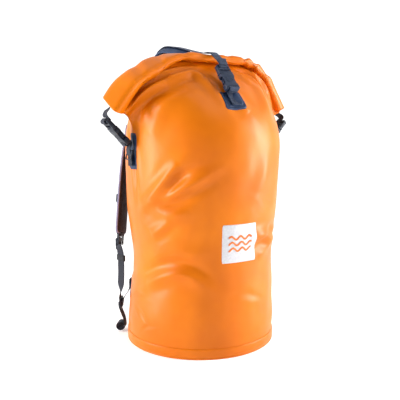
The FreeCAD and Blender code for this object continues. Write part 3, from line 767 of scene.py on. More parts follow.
def make_stage():
    """Floor, sky, camera and softboxes."""
    bpy.context.scene.view_settings.view_transform = "Standard"
    make_floor()
    make_sky()
    data = bpy.data.cameras.new("camera")
    data.lens = CAMERA_LENS
    data.sensor_width = CAMERA_SENSOR
    turn = (math.radians(CAMERA_PITCH), 0, math.radians(CAMERA_TURN))
    bpy.context.scene.camera = add_to_scene("camera", data, CAMERA_PLACE, turn)
    for name, place, aim, size, power in SOFTBOXES:
        data = bpy.data.lights.new(name, "AREA")
        data.shape = "RECTANGLE"
        data.size, data.size_y = size
        data.energy = power
        add_to_scene(name, data, place, (Vector(aim) - Vector(place)).to_track_quat("-Z", "Y").to_euler())


# ---------------------------------------------------------------- frames and webbing

FRONT, BACK, LEFT, RIGHT = -90.0, 90.0, 180.0, 0.0
STRAP_WIDTH = 0.020
HARNESS_WIDTH = 0.025
STRAP_GAUGE = 0.0016
LINE_PITCH = 0.004


def radial(angle):
    """A frame whose +Y points outward from the bag's axis at this angle from +X."""
    return Matrix.Rotation(math.radians(angle - 90.0), 4, "Z")


def tilted(outward, level, tilt, across=0.0):
    """A frame inside a radial frame, its +Z tipped outward by tilt degrees."""
    return Matrix.Translation((across, outward, level)) @ Matrix.Rotation(math.radians(-tilt), 4, "X")


# Half of a webbing's section, edge to edge: share of its half width, and share of its half thickness.
BAND_SECTION = ((-1.0, 0.0), (-0.985, 0.62), (-0.93, 0.96), (-0.55, 0.90), (0.0, 0.92),
                (0.55, 0.90), (0.93, 0.96), (0.985, 0.62), (1.0, 0.0))


def ribbon(name, route, side, width=STRAP_WIDTH, gauge=STRAP_GAUGE, passes=3, widths=None, cup=0.0):
    """Webbing along a route: side is its width direction, or several directions evenly spaced along it."""
    line = evenly(rounded([Vector(p) for p in route], passes), LINE_PITCH)
    sides = side if isinstance(side, tuple) else (side, side)
    spans = len(sides) - 1
    section = [*BAND_SECTION, *((across, -crown) for across, crown in BAND_SECTION[-2:0:-1])]
    verts, weave = [], []
    travelled = 0.0
    for index, point in enumerate(line):
        share = index / (len(line) - 1)
        ahead = line[min(index + 1, len(line) - 1)] - line[max(index - 1, 0)]
        tangent = ahead.normalized()
        span = min(int(share * spans), spans - 1)
        across_way = sides[span].lerp(sides[span + 1], share * spans - span)
        across_way = (across_way - tangent * across_way.dot(tangent)).normalized()
        up = across_way.cross(tangent)
        half = (width if widths is None else width * widths(share)) / 2.0
        if index:
            travelled += (point - line[index - 1]).length
        for across, crown in section:
            rise = crown * gauge / 2.0 - cup * across * across
            verts.append(point + across_way * across * half + up * rise)
            weave.append((travelled, across * half, 0.0))
    obj = link(name, verts, tube_faces(len(line), len(section)))
    attribute = obj.data.attributes.new("weave", "FLOAT_VECTOR", "POINT")
    attribute.data.foreach_set("vector", np.array(weave, np.float32).ravel())
    return obj


def in_frame(matrix, points):
    """World points from a frame's (Y, Z) or (X, Y, Z) places."""
    return [matrix @ Vector(p if len(p) == 3 else (0.0, *p)) for p in points]


def x_way(matrix):
    """A frame's width direction."""
    return (matrix.to_3x3() @ Vector((1, 0, 0))).normalized()


def y_way(matrix):
    """A frame's outward direction."""
    return (matrix.to_3x3() @ Vector((0, 1, 0))).normalized()


def strap(name, route, way, body, slot, material, *replaced, **shape):
    """A ribbon of webbing on its body."""
    return finish_piece(ribbon(name, route, way, **shape), body, slot, material, *replaced)


# A stitch: places along it and its thickness there, as shares.
THREAD_BAR = ((-0.5, 0.35), (-0.3, 0.9), (0.0, 1.0), (0.3, 0.9), (0.5, 0.35))
THREAD_LENGTH = 0.0026
THREAD_GAP = 0.0010
THREAD_GAUGE = 0.00045


def stitches(name, runs, up):
    """Rows of thread, each stitch a short rounded bar that dips at both ends."""
    verts, faces = [], []
    for start, end in runs:
        way = (end - start).normalized()
        cross = way.cross(up).normalized()
        count = max(1, int((end - start).length / (THREAD_LENGTH + THREAD_GAP)))
        for k in range(count):
            middle = start.lerp(end, (k + 0.5) / count)
            base = len(verts)
            for share, size in THREAD_BAR:
                lift = THREAD_GAUGE * (0.6 - 3.0 * share * share)
                centre = middle + way * share * THREAD_LENGTH + up * lift
                radius = THREAD_GAUGE * 0.55 * size
                for turn in range(6):
                    angle = turn * math.pi / 3.0
                    verts.append(centre + (cross * math.cos(angle) + up * math.sin(angle)) * radius)
            faces += tube_faces(len(THREAD_BAR), 6, base)
    return link(name, verts, faces)


def box_outline(low, high):
    """The four corners of a rectangle, from two of them."""
    return [(low[0], low[1]), (high[0], low[1]), (high[0], high[1]), (low[0], high[1])]


def box_stitch(name, matrix, low, high, lift, slot, material):
    """A sewn rectangle with a cross in it, in a frame's X and Z, lift above its plane."""
    corners = [matrix @ Vector((x, lift, z)) for x, z in box_outline(low, high)]
    runs = list(zip(corners, corners[1:] + corners[:1])) + [tuple(corners[::2]), tuple(corners[1::2])]
    finish_piece(stitches(name, runs, y_way(matrix)), "bag", slot, material)


# ---------------------------------------------------------------- patches

PATCH_RINGS = 18
PATCH_SPOKES = 72
PATCH_EDGE_LOW = -0.0012
PATCH_BACK_LOW = -0.0016
PATCH_BACK_SHARE = 0.9


def rounded_outline(half_width, half_length, corner, spoke):
    """A point on a rounded rectangle at a share of the way round it."""
    angle = 2.0 * math.pi * spoke
    cos, sin = math.cos(angle), math.sin(angle)
    core = (half_width - corner, half_length - corner)
    reach = min(half_width / max(abs(cos), 1e-9), half_length / max(abs(sin), 1e-9))
    x, z = cos * reach, sin * reach
    over_x, over_z = abs(x) - core[0], abs(z) - core[1]
    if over_x > 0 and over_z > 0:
        size = math.hypot(over_x, over_z)
        x = math.copysign(core[0] + over_x / size * corner, x)
        z = math.copysign(core[1] + over_z / size * corner, z)
    return x, z


def surface_drop(tree, matrix, x, z, reach=0.08):
    """Where a frame's point meets the bag, as its local Y, or None."""
    hit = tree.ray_cast(matrix @ Vector((x, reach, z)), -y_way(matrix))[0]
    return None if hit is None else (matrix.inverted() @ hit).y


def patch(name, node, tree, matrix, width, length, corner, profile, material, slot="patch"):
    """A welded patch that follows the bag's surface. profile gives its height at a distance from its edge."""
    flat = surface_drop(tree, matrix, 0.0, 0.0) or 0.0
    short = min(width, length) / 2.0

    def ring(share, height):
        """The outline drawn in to a share of its size, at a height above the bag."""
        places = []
        for spoke in range(PATCH_SPOKES):
            x, z = rounded_outline(width / 2.0, length / 2.0, corner, spoke / PATCH_SPOKES)
            base = surface_drop(tree, matrix, x * share, z * share)
            places.append(matrix @ Vector((x * share, (flat if base is None else base) + height, z * share)))
        return places

    verts = ring(1.0, PATCH_EDGE_LOW)
    for step_in in range(PATCH_RINGS):
        share = 1.0 - (step_in / PATCH_RINGS) ** 1.25
        verts += ring(share, profile((1.0 - share) * short))
    centre = len(verts)
    verts.append(matrix @ Vector((0.0, flat + profile(short), 0.0)))
    verts += ring(PATCH_BACK_SHARE, PATCH_BACK_LOW)
    last = PATCH_RINGS * PATCH_SPOKES
    back = centre + 1
    faces = grid_faces(PATCH_RINGS + 1, PATCH_SPOKES, True)
    around = [(k, (k + 1) % PATCH_SPOKES) for k in range(PATCH_SPOKES)]
    faces += [(last + k, last + after, centre) for k, after in around]
    faces += [(k, back + k, back + after, after) for k, after in around]
    faces.append(tuple(range(back, back + PATCH_SPOKES)))
    return finish_piece(link(name, verts, faces), "bag", slot, material, node)


def stepped(*steps):
    """A height profile over the distance from the edge: soft steps, each (place, width, rise)."""
    return lambda inset: sum(rise * float(smoothstep(place - width / 2.0, place + width / 2.0, inset))
                             for place, width, rise in steps)


PROUD = (-1.0, 1.0, 0.0002)
WELDED = stepped(PROUD, (0.0007, 0.0014, 0.0017), (0.0050, 0.0010, -0.0008), (0.0082, 0.0012, 0.0018))
PRESSED = stepped(PROUD, (0.0007, 0.0014, 0.0014), (0.0042, 0.0008, -0.0005), (0.0056, 0.0008, 0.0005))
FILM = stepped((-1.0, 1.0, 0.00015), (0.0003, 0.0006, 0.0004))


# ---------------------------------------------------------------- moulded parts

SHARP_ANGLE = math.radians(38)


def soft_corners(points, radius, steps=4):
    """The same outline with its corners rounded."""
    corners = [Vector(p) for p in points]
    outline = []
    for index, here in enumerate(corners):
        before, after = corners[index - 1], corners[(index + 1) % len(corners)]
        start = here + (before - here).normalized() * min(radius, (before - here).length * 0.48)
        end = here + (after - here).normalized() * min(radius, (after - here).length * 0.48)
        for k in range(steps + 1):
            share = k / steps
            outline.append(start * (1 - share) ** 2 + here * 2 * share * (1 - share) + end * share ** 2)
    return outline


def soft_box(low, high, radius, steps=4):
    """A rectangle with rounded corners."""
    return soft_corners(box_outline(low, high), radius, steps)


def moulding(name, matrix, outlines, half_gauge, edge=0.0007, middle=0.0):
    """A plate with rounded edges and holes: outlines are in a frame's X and Z, its gauge along Y."""
    curve = bpy.data.curves.new(name, "CURVE")
    curve.dimensions = "2D"
    curve.fill_mode = "BOTH"
    curve.extrude = half_gauge - edge
    curve.bevel_depth = edge
    curve.bevel_resolution = 2
    curve.offset = -edge
    for outline in outlines:
        spline = curve.splines.new("POLY")
        spline.points.add(len(outline) - 1)
        for point, place in zip(spline.points, outline):
            point.co = (place[0], place[1], 0.0, 1.0)
        spline.use_cyclic_u = True
    holder = bpy.data.objects.new(name, curve)
    mesh = bpy.data.meshes.new_from_object(holder)
    bpy.data.objects.remove(holder)
    bpy.data.curves.remove(curve)
    to_frame = matrix @ Matrix.Translation((0, middle, 0)) @ Matrix.Rotation(math.radians(90), 4, "X")
    mesh.transform(to_frame)
    cleaner = bmesh.new()
    cleaner.from_mesh(mesh)
    bmesh.ops.remove_doubles(cleaner, verts=cleaner.verts, dist=1e-6)
    bmesh.ops.recalc_face_normals(cleaner, faces=cleaner.faces)
    cleaner.to_mesh(mesh)
    cleaner.free()
    obj = bpy.data.objects.new(name, mesh)
    bpy.context.scene.collection.objects.link(obj)
    mesh.shade_smooth()
    mesh.set_sharp_from_angle(angle=SHARP_ANGLE)
    return obj


def bars(matrix, centres, half, radius, half_gauge, edge):
    """The same small rounded bar at several (x, z) centres."""
    wide, long = half
    outlines = [soft_box((x - wide, z - long), (x + wide, z + long), radius) for x, z in centres]
    return [moulding("bar", matrix, [outline], half_gauge, edge) for outline in outlines]


def merged(name, parts):
    """Several objects as one."""
    verts, faces, base = [], [], 0
    for part in parts:
        verts += [part.matrix_world @ v.co for v in part.data.vertices]
        faces += [tuple(base + index for index in face.vertices) for face in part.data.polygons]
        base = len(verts)
        bpy.data.objects.remove(part)
    obj = link(name, verts, faces)
    obj.data.set_sharp_from_angle(angle=SHARP_ANGLE)
    return obj


def sweep(name, line, up, section, closed=False):
    """A tube along a line: section is a list of (across, up) places round it."""
    verts = []
    count = len(line)
    for index, point in enumerate(line):
        after = line[(index + 1) % count] if closed else line[min(index + 1, count - 1)]
        before = line[index - 1] if closed else line[max(index - 1, 0)]
        tangent = (after - before).normalized()
        across_way = up.cross(tangent).normalized()
        up_way = tangent.cross(across_way)
        verts += [point + across_way * across + up_way * rise for across, rise in section]
    return link(name, verts, tube_faces(count, len(section), looped=closed))


def oval(half_across, half_up, steps=12):
    """Places round an oval."""
    return [(half_across * math.cos(2 * math.pi * k / steps), half_up * math.sin(2 * math.pi * k / steps))
            for k in range(steps)]


# ---------------------------------------------------------------- buckles

BUCKLE_HALF = 0.0165
BAR_SLOT = ((-0.0115, -0.0212), (0.0115, -0.0168))
MALE_SLOTS = (((-0.0115, 0.0275), (0.0115, 0.0319)), ((-0.0115, 0.0360), (0.0115, 0.0404)))
PRONG_OUTLINE = [(0.0091, 0.0165), (0.0091, -0.0088), (0.0118, -0.0090), (0.0160, -0.0056), (0.0164, -0.0040),
                 (0.0156, -0.0028), (0.0157, -0.0014), (0.0147, -0.0004), (0.0147, 0.0010), (0.0137, 0.0020),
                 (0.0136, 0.0034), (0.0122, 0.0062), (0.0119, 0.0165)]


def make_female(name, matrix):
    """The socket half: two faces, side rails, and the bar that the webbing wraps."""
    half = BUCKLE_HALF
    right = [(half, -0.0242), (half, -0.0118), (half - 0.0030, -0.0078), (half - 0.0030, 0.0060),
             (half, 0.0098), (half, 0.0180)]
    outline = soft_corners(right + [(-x, z) for x, z in right[::-1]], 0.0026)
    slot = soft_box(*BAR_SLOT, 0.0012)
    ring = [[(x * s, z * s - 0.0005) for x, z in oval(0.0085, 0.0066, 28)] for s in (1.0, 0.80)]
    tail = soft_box((-half, -0.0243), (half, -0.0098), 0.003)
    parts = [moulding("face", matrix, [outline, slot], 0.0011, 0.0006, 0.0049),
             moulding("back", matrix, [outline, slot], 0.0011, 0.0006, -0.0049),
             moulding("tail", matrix, [tail, slot], 0.0056, 0.0012),
             moulding("ring", matrix, ring, 0.0004, 0.0002, 0.0061)]
    rails = [(side * (half - 0.0014), 0.0137) for side in (-1, 1)]
    return merged(name, parts + bars(matrix, rails, (0.0014, 0.0039), 0.0006, 0.0044, 0.0003))


def make_male(name, matrix):
    """The plug half: a plate with two webbing slots, a collar, a guide and grip ribs."""
    half = BUCKLE_HALF
    slots = [soft_box(*slot, 0.0012) for slot in MALE_SLOTS]
    plate = soft_box((-half, 0.0186), (half, 0.0440), 0.0038, 6)
    collar = soft_box((-half, 0.0186), (half, 0.0232), 0.0012)
    guide = soft_box((-0.0030, 0.0020), (0.0030, 0.0195), 0.0022)
    parts = [moulding("plate", matrix, [plate, *slots], 0.0046, 0.0014),
             moulding("collar", matrix, [collar], 0.0058, 0.0010),
             moulding("guide", matrix, [guide], 0.0020, 0.0006)]
    ribs = [(0.0, level) for level in (0.0246, 0.0258, 0.0270)]
    return merged(name, parts + bars(matrix, ribs, (0.010, 0.0004), 0.0003, 0.0051, 0.0003))


def make_buckle(word, matrix, material, slot):
    """A side-release buckle: its socket on the bag, its plug and its two arms on their own bodies."""
    finish_piece(make_female(f"{word}_buckle_socket", matrix), "bag", slot, material, f"{word}_female")
    finish_piece(make_male(f"{word}_buckle_plug", matrix), f"{word}_male", slot, material, f"{word}_male")
    for letter in ("a", "b"):
        low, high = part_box(f"{word}_prong_{letter}")
        side = math.copysign(1.0, (matrix.inverted() @ ((low + high) / 2)).x)
        outline = soft_corners([(x * side, z) for x, z in PRONG_OUTLINE], 0.0010, 2)
        arm = moulding(f"{word}_buckle_arm_{letter}", matrix, [outline], 0.0029, 0.0005)
        finish_piece(arm, f"{word}_prong_{letter}", slot, material, f"{word}_prong_{letter}")


# ---------------------------------------------------------------- top strap and front buckle

STRAP_LEVEL = ROLL_TOP - 0.0030
FRONT_BUCKLE = (0.1173, 0.5849, -40.0)
FRONT_PATCH = (0.136, 0.547, -45.0)
PATCH_SIDE = 0.050
BAR_WRAP = [(-0.0072, -0.0184), (0.0074, -0.0184), (0.0074, -0.0276), (-0.0030, -0.0276)]
STRAP_WRAP = [(0.0074, 0.0374), (-0.0074, 0.0374), (-0.0074, 0.0473), (0.0020, 0.0473)]


def make_front(tree, slate, slate_web):
    """The front patch, the webbing that ties the socket to it, and the strap that comes down to the plug."""
    front = radial(FRONT)
    patch_frame = front @ tilted(*FRONT_PATCH)
    patch("front_patch_moulding", "front_patch", tree, patch_frame, PATCH_SIDE, PATCH_SIDE, 0.007, WELDED,
          slate)
    buckle = front @ tilted(*FRONT_BUCKLE)
    way = x_way(buckle)
    face = surface_drop(tree, patch_frame, 0.0, -0.010) + 0.0040
    foot = in_frame(patch_frame, [(face, -0.0165), (face, 0.004)])
    route = foot + in_frame(buckle, [(-0.0085, -0.030)] + BAR_WRAP)
    strap("front_patch_strap", route, way, "bag", "top_webbing", slate_web, "front_patch_webbing")
    box_stitch("front_patch_stitching", patch_frame, (-0.008, -0.015), (0.008, 0.001), face + 0.0009,
               "top_webbing", slate_web)

    # The strap over the roll comes down to the plug, and its last loop goes with the plug.
    run = in_frame(front, [(0.0300, STRAP_LEVEL), (0.0520, STRAP_LEVEL), (0.0600, STRAP_LEVEL - 0.004)])
    run += in_frame(buckle, [(0.0074, 0.050), (0.0074, 0.0445)])
    piece = strap("front_strap", run, way, "bag", "top_webbing", slate_web, "front_strap_run")
    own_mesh(piece)
    loop = in_frame(buckle, [(0.0074, 0.0450), *STRAP_WRAP])
    strap("front_strap_loop", loop, way, "front_male", "top_webbing", slate_web)
    end = in_frame(buckle, [(0.0100, 0.0405), (0.0104, 0.0480), (0.0118, 0.0560)])
    strap("front_strap_end", end, way, "front_male", "top_webbing", slate_web)


# ---------------------------------------------------------------- handle

HANDLE_RIBS = 11
RIB_WIDTH = 0.038
RIB_HEIGHT = 0.0030
RIB_HALF_GAUGE = 0.0016
RIB_STEPS = 9
RIB_SPOKES = 8
GRIP_WIDTH = 0.044
GRIP_GAUGE = 0.0050
GRIP_CUP = 0.0115
CARRY_ROUTE = [(-0.0310, STRAP_LEVEL), (-0.0200, STRAP_LEVEL + 0.0008), (0.030, 0.6640), (0.100, 0.6815),
               (0.150, 0.6898), (0.176, 0.6870), (0.2060, 0.6760), (0.2050, 0.640), (0.2000, 0.600),
               (0.1960, 0.560), (0.1850, 0.528), (0.1760, 0.500), (0.1752, 0.440)]
GRIP_ROUTE = [(0.050, 0.6655), (0.100, 0.6775), (0.148, 0.6862), (0.174, 0.6835), (0.2022, 0.6730),
              (0.2005, 0.640), (0.1965, 0.606)]


def grip_width(share):
    """How the grip narrows to its two ends."""
    return 0.58 + 0.42 * float(smoothstep(0.0, 0.16, share)) - 0.30 * float(smoothstep(0.88, 1.0, share))


def grip_ribs(back):
    """The cross ribs moulded under the grip."""
    line = evenly(rounded([Vector((0, *p)) for p in GRIP_ROUTE]), LINE_PITCH)
    verts, faces = [], []
    for rib in range(HANDLE_RIBS):
        index = int((rib + 1.2) / (HANDLE_RIBS + 1.2) * (len(line) - 1))
        tangent = (line[index + 1] - line[index - 1]).normalized()
        up = Vector((1, 0, 0)).cross(tangent)
        base = len(verts)
        for place in range(RIB_STEPS):
            off = 2.0 * place / (RIB_STEPS - 1) - 1.0
            across = off * RIB_WIDTH / 2.0
            rise = RIB_HEIGHT * math.sqrt(max(0.0, 1.0 - off ** 4)) + 0.0004
            sag = 0.0026 + GRIP_CUP * (2.0 * across / GRIP_WIDTH) ** 2
            centre = line[index] + Vector((across, 0, 0)) - up * sag
            for turn in range(RIB_SPOKES):
                angle = turn * 2.0 * math.pi / RIB_SPOKES
                offset = tangent * math.cos(angle) * RIB_HALF_GAUGE + up * math.sin(angle) * rise
                verts.append(back @ (centre + offset))
        faces += tube_faces(RIB_STEPS, RIB_SPOKES, base)
    return link("carry_grip_ribs", verts, faces)


def make_handle(tree, slate, slate_web):
    """The carry strap, from the roll to the back patch, with its ribbed grip."""
    back = radial(BACK)
    way = x_way(back)
    strap("carry_strap", in_frame(back, CARRY_ROUTE), way, "bag", "top_webbing", slate_web, "top_strap")
    strap("carry_grip", in_frame(back, GRIP_ROUTE), way, "bag", "grip", slate, "handle_grip",
          width=GRIP_WIDTH, gauge=GRIP_GAUGE, widths=grip_width, cup=GRIP_CUP)
    finish_piece(grip_ribs(back), "bag", "grip", slate)
    patch_frame = back @ tilted(0.172, 0.440, 0.0)
    patch("back_patch_moulding", "back_patch", tree, patch_frame, 0.060, 0.070, 0.008, WELDED, slate)
    face = surface_drop(tree, patch_frame, 0.0, 0.0) + 0.0052
    box_stitch("back_patch_stitching", patch_frame, (-0.008, -0.001), (0.008, 0.020), face, "top_webbing",
               slate_web)


# ---------------------------------------------------------------- sides

SIDE_SHIFT = -0.006
SIDE_BUCKLE = (0.2036, 0.4726, 45.0)
SIDE_FACE = 0.1790
END_WRAP = [(-0.0074, 0.0405), (-0.0074, 0.0374), (0.0074, 0.0374), (0.0074, 0.0473), (-0.0020, 0.0473)]


def side_frame(angle, side):
    """The frame of one side's fittings, a little forward of the bag's middle."""
    return radial(angle) @ Matrix.Translation((SIDE_SHIFT * side, 0, 0))


def make_side(word, angle, side, tree, slate, black_web):
    """A side patch, its webbing hump, and the strap from the roll's end to the plug."""
    frame_side = side_frame(angle, side)
    way = x_way(frame_side)
    patch_frame = frame_side @ tilted(0.1745, 0.438, 0.0)
    patch(f"{word}_patch_moulding", f"{word}_patch", tree, patch_frame, 0.030, 0.078, 0.007, PRESSED, slate)
    buckle = frame_side @ tilted(*SIDE_BUCKLE)
    hump = [(SIDE_FACE, 0.4065), (SIDE_FACE, 0.4290), (0.1832, 0.4345), (0.1832, 0.4452), (0.1800, 0.4500)]
    route = in_frame(frame_side, hump) + in_frame(buckle, [(-0.0078, -0.029)] + BAR_WRAP)
    strap(f"{word}_patch_strap", route, way, "bag", "webbing", black_web, f"{word}_webbing", passes=2)
    box_stitch(f"{word}_patch_stitching", frame_side, (-0.008, 0.4080), (0.008, 0.4250), SIDE_FACE + 0.0010,
               "webbing", black_web)
    end_x, end_z = arch(ARCH_HALF - 0.004)[0]
    start = radial(angle) @ Vector((ROLL_Y * -side * 0.4, end_x, end_z))
    tab = [start] + in_frame(buckle, [(-0.0074, 0.0520), (-0.0074, 0.0400)])
    piece = strap(f"{word}_end_strap", tab, way, "bag", "webbing", black_web, f"{word}_roll_tab")
    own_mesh(piece)
    strap(f"{word}_end_loop", in_frame(buckle, END_WRAP), way, f"{word}_male", "webbing", black_web)


def make_ring(word, angle, side, material):
    """The flat loop under the side webbing."""
    matrix = side_frame(angle, side) @ tilted(0.1791, 0.440, -12.0)
    outer = soft_box((-0.0145, -0.0207), (0.0145, 0.0013), 0.0042, 6)
    inner = soft_box((-0.0119, -0.0181), (0.0119, -0.0013), 0.0026, 6)
    ring = moulding(f"{word}_gear_loop", matrix, [outer, inner], 0.0013, 0.0010)
    finish_piece(ring, f"{word}_ring", "black_plastic", material, f"{word}_ring")


# ---------------------------------------------------------------- harness

# Where the harness sits: angles from the back in degrees, places and levels in metres.
SHOULDER_ANGLE = 31.0
PAD_ANGLE = 48.0
LOWER_ANGLE = 55.0
PAD_SHIFT = 0.018
PAD_LEVEL = 0.362
PAD_LEAN = 14.0
PAD_OUT = 0.191
PAD_ROUTE = [(PAD_OUT, -0.128), (PAD_OUT, 0.020), (0.181, 0.132)]
PAD_LENGTH = 0.264
PAD_HALF = 0.033
PAD_GAUGE = 0.012
PAD_CORNER = 0.018
PAD_SEAMS = (0.075, 0.150, 0.205)
PAD_SIDE_STEPS = 26
PAD_STITCH_ROWS = (-0.0100, 0.0100)
LOCK_SLOTS = (((-0.013, 0.004), (0.013, 0.008)), ((-0.013, -0.009), (0.013, -0.005)))


def pad_section(share_across, edge, run):
    """Half thickness of the pad: crowned, drawn in along the sewn line and at the cross seams."""
    place = abs(share_across)
    crown = (0.62 + 0.38 * math.cos(place * math.pi / 2.0)) * (1.0 - place ** 7) ** 0.5
    seam = math.exp(-((place - 0.80) / 0.055) ** 2) * 0.30
    cross = sum(math.exp(-((run - level) / 0.0022) ** 2) for level in PAD_SEAMS) * 0.26
    return PAD_GAUGE / 2.0 * max(0.10, crown - seam - cross * (1.0 - place ** 4)) * edge


def make_pad(name, matrix):
    """The padded strap and the line round its edge."""
    line = evenly(rounded([matrix @ Vector((0, *p)) for p in PAD_ROUTE], 4), 0.0030)
    side_way = x_way(matrix)
    total = len(line) - 1
    verts, left_edge, right_edge = [], [], []
    for index, point in enumerate(line):
        run = index / total * PAD_LENGTH
        near = min(run, PAD_LENGTH - run)
        corner = max(0.0, PAD_CORNER - near)
        half = PAD_HALF - PAD_CORNER + math.sqrt(max(0.0, PAD_CORNER ** 2 - corner ** 2))
        edge = 0.30 + 0.70 * float(smoothstep(0.0, 0.012, near))
        tangent = (line[min(index + 1, total)] - line[max(index - 1, 0)]).normalized()
        up = side_way.cross(tangent)
        for k in range(PAD_SIDE_STEPS * 2):
            top = k < PAD_SIDE_STEPS
            across = -1.0 + 2.0 * (k if top else 2 * PAD_SIDE_STEPS - k) / PAD_SIDE_STEPS
            rise = pad_section(across, edge, run) * (1.0 if top else -1.0)
            soft = 0.0006 * noise.noise(Vector((across * 3.0, run * 40.0, 1.0 if top else 4.0)))
            verts.append(point + side_way * across * half + up * (rise + soft * edge))
        left_edge.append(point - side_way * (half + 0.0004))
        right_edge.append(point + side_way * (half + 0.0004))
    return link(name, verts, tube_faces(len(line), PAD_SIDE_STEPS * 2)), left_edge + right_edge[::-1]


def make_lock(name, matrix):
    """A ladder lock: a rounded frame with two slots and a ridged middle bar."""
    slots = [soft_box(*slot, 0.0012) for slot in LOCK_SLOTS]
    frame_outline = soft_box((-0.017, -0.013), (0.017, 0.013), 0.0035, 5)
    parts = [moulding("frame", matrix, [frame_outline, *slots], 0.0020, 0.0012)]
    ribs = [(0.0, level) for level in (-0.0032, -0.0012, 0.0008, 0.0026)]
    return merged(name, parts + bars(matrix, ribs, (0.0125, 0.0005), 0.0004, 0.0026, 0.0004))


def make_harness(word, side, tree, mats):
    """One shoulder strap with everything that hangs on it, and its anchors."""
    upper = radial(BACK + PAD_ANGLE * side)
    lean = Matrix.Rotation(math.radians(PAD_LEAN * side), 4, "Y")
    pad_frame = upper @ Matrix.Translation((PAD_SHIFT * side, 0, PAD_LEVEL)) @ lean
    outward = y_way(pad_frame)
    strap_body = f"{word}_shoulder_strap"
    pad, edge = make_pad(f"{word}_padded_strap", pad_frame)
    finish_piece(pad, strap_body, "pad_mesh", mats["mesh"], f"{word}_shoulder_pad")
    binding = sweep(f"{word}_pad_binding", edge, outward, oval(0.0016, 0.0026), True)
    finish_piece(binding, strap_body, "webbing", mats["binding"])
    outer = [(y + 0.0073, z) for y, z in PAD_ROUTE]
    lock_frame = pad_frame @ tilted(0.190, -0.1425, 0.0)
    wrap = in_frame(lock_frame, [(-0.0035, 0.0150), (-0.0032, 0.0064), (0.0030, 0.0068), (0.0058, 0.0120)])
    strap(f"{word}_pad_strap", wrap + in_frame(pad_frame, outer), x_way(pad_frame), strap_body, "webbing",
          mats["web"], f"{word}_pad_webbing", width=HARNESS_WIDTH, passes=2)
    rows = []
    for across in PAD_STITCH_ROWS:
        places = [pad_frame @ Vector((across, y + 0.0009, z)) for y, z in outer]
        rows += list(zip(places, places[1:]))
    finish_piece(stitches(f"{word}_pad_stitching", rows, outward), strap_body, "webbing", mats["thread"])
    lock, lock_body = make_lock(f"{word}_strap_lock", lock_frame), f"{word}_ladder_lock"
    finish_piece(lock, lock_body, "black_plastic", mats["nylon"], lock_body)
    shoulder = radial(BACK + SHOULDER_ANGLE * side) @ tilted(0.1724, 0.466, 0.0)
    patch(f"{word}_shoulder_anchor", f"{word}_shoulder_patch", tree, shoulder, 0.046, 0.046, 0.007, PRESSED,
          mats["slate"])
    make_sternum(word, side, upper, pad_frame, mats)
    make_lower(word, side, tree, lock_frame, mats)


SLIDER_OUT = PAD_OUT + PAD_GAUGE / 2.0 + 0.0003 + STRAP_GAUGE + 0.0020
SLIDER_DROP = 0.045
CHEST_WIDTH = 0.015
CHEST_OUTLINE = [(-0.011, 0.014), (-0.011, -0.004), (-0.0085, -0.014), (0.0085, -0.014), (0.011, -0.004),
                 (0.011, 0.014)]


def make_sternum(word, side, upper, pad_frame, mats):
    """The slider on the shoulder strap, and the chest strap that hangs from it with half a buckle."""
    slider_frame = pad_frame @ tilted(SLIDER_OUT, -SLIDER_DROP, 0.0)
    outlines = [soft_box((-0.017, -0.010), (0.017, 0.010), 0.0030, 5),
                soft_box((-0.009, -0.005), (0.009, -0.0015), 0.0010)]
    parts = [moulding("slide", slider_frame, outlines, 0.0015, 0.0007)]
    parts += bars(slider_frame, [(-0.0145, 0.0), (0.0145, 0.0)], (0.0018, 0.0085), 0.0010, 0.0022, 0.0007)
    slider, body = merged(f"{word}_chest_slider", parts), f"{word}_sternum_slider"
    finish_piece(slider, body, "black_plastic", mats["nylon"], body)
    shift = (PAD_SHIFT - SLIDER_DROP * math.sin(math.radians(PAD_LEAN))) * side
    hang = upper @ Matrix.Translation((shift, 0, 0))
    face = SLIDER_OUT + 0.0026
    route = in_frame(hang, [(face, 0.316), (face + 0.0004, 0.270), (face + 0.0015, 0.2165)])
    body = f"{word}_sternum_strap"
    strap(f"{word}_chest_strap", route, x_way(hang), body, "webbing", mats["web"], body, width=CHEST_WIDTH,
          gauge=0.0012)
    buckle_frame = hang @ tilted(face + 0.0015, 0.2085, 0.0)
    outlines = [soft_corners(CHEST_OUTLINE, 0.0025), soft_box((-0.0085, 0.0075), (0.0085, 0.011), 0.0012),
                soft_box((-0.0045, -0.009), (0.0045, 0.002), 0.0015)]
    parts = [moulding("shell", buckle_frame, outlines, 0.0035, 0.0012)]
    ribs = [(across, level) for level in (-0.0045, -0.0015, 0.0015) for across in (-0.0078, 0.0078)]
    parts += bars(buckle_frame, ribs, (0.0016, 0.0005), 0.0004, 0.0040, 0.0004)
    buckle = merged(f"{word}_chest_buckle", parts)
    finish_piece(buckle, body, "black_plastic", mats["nylon"], f"{word}_sternum_buckle")


TAIL_CENTRE = (0.1920, 0.0148)
TAIL_RADIUS = 0.0118
TAIL_HOLE = 0.0028
TAIL_TURNS = 2.6
TAIL_STEPS = 70
LOWER_TURN = math.radians(48.0)
LOWER_OUT = 0.1895
KEEPER_LEVEL = 0.180
LOWER_PATCH_OUT = 0.1722


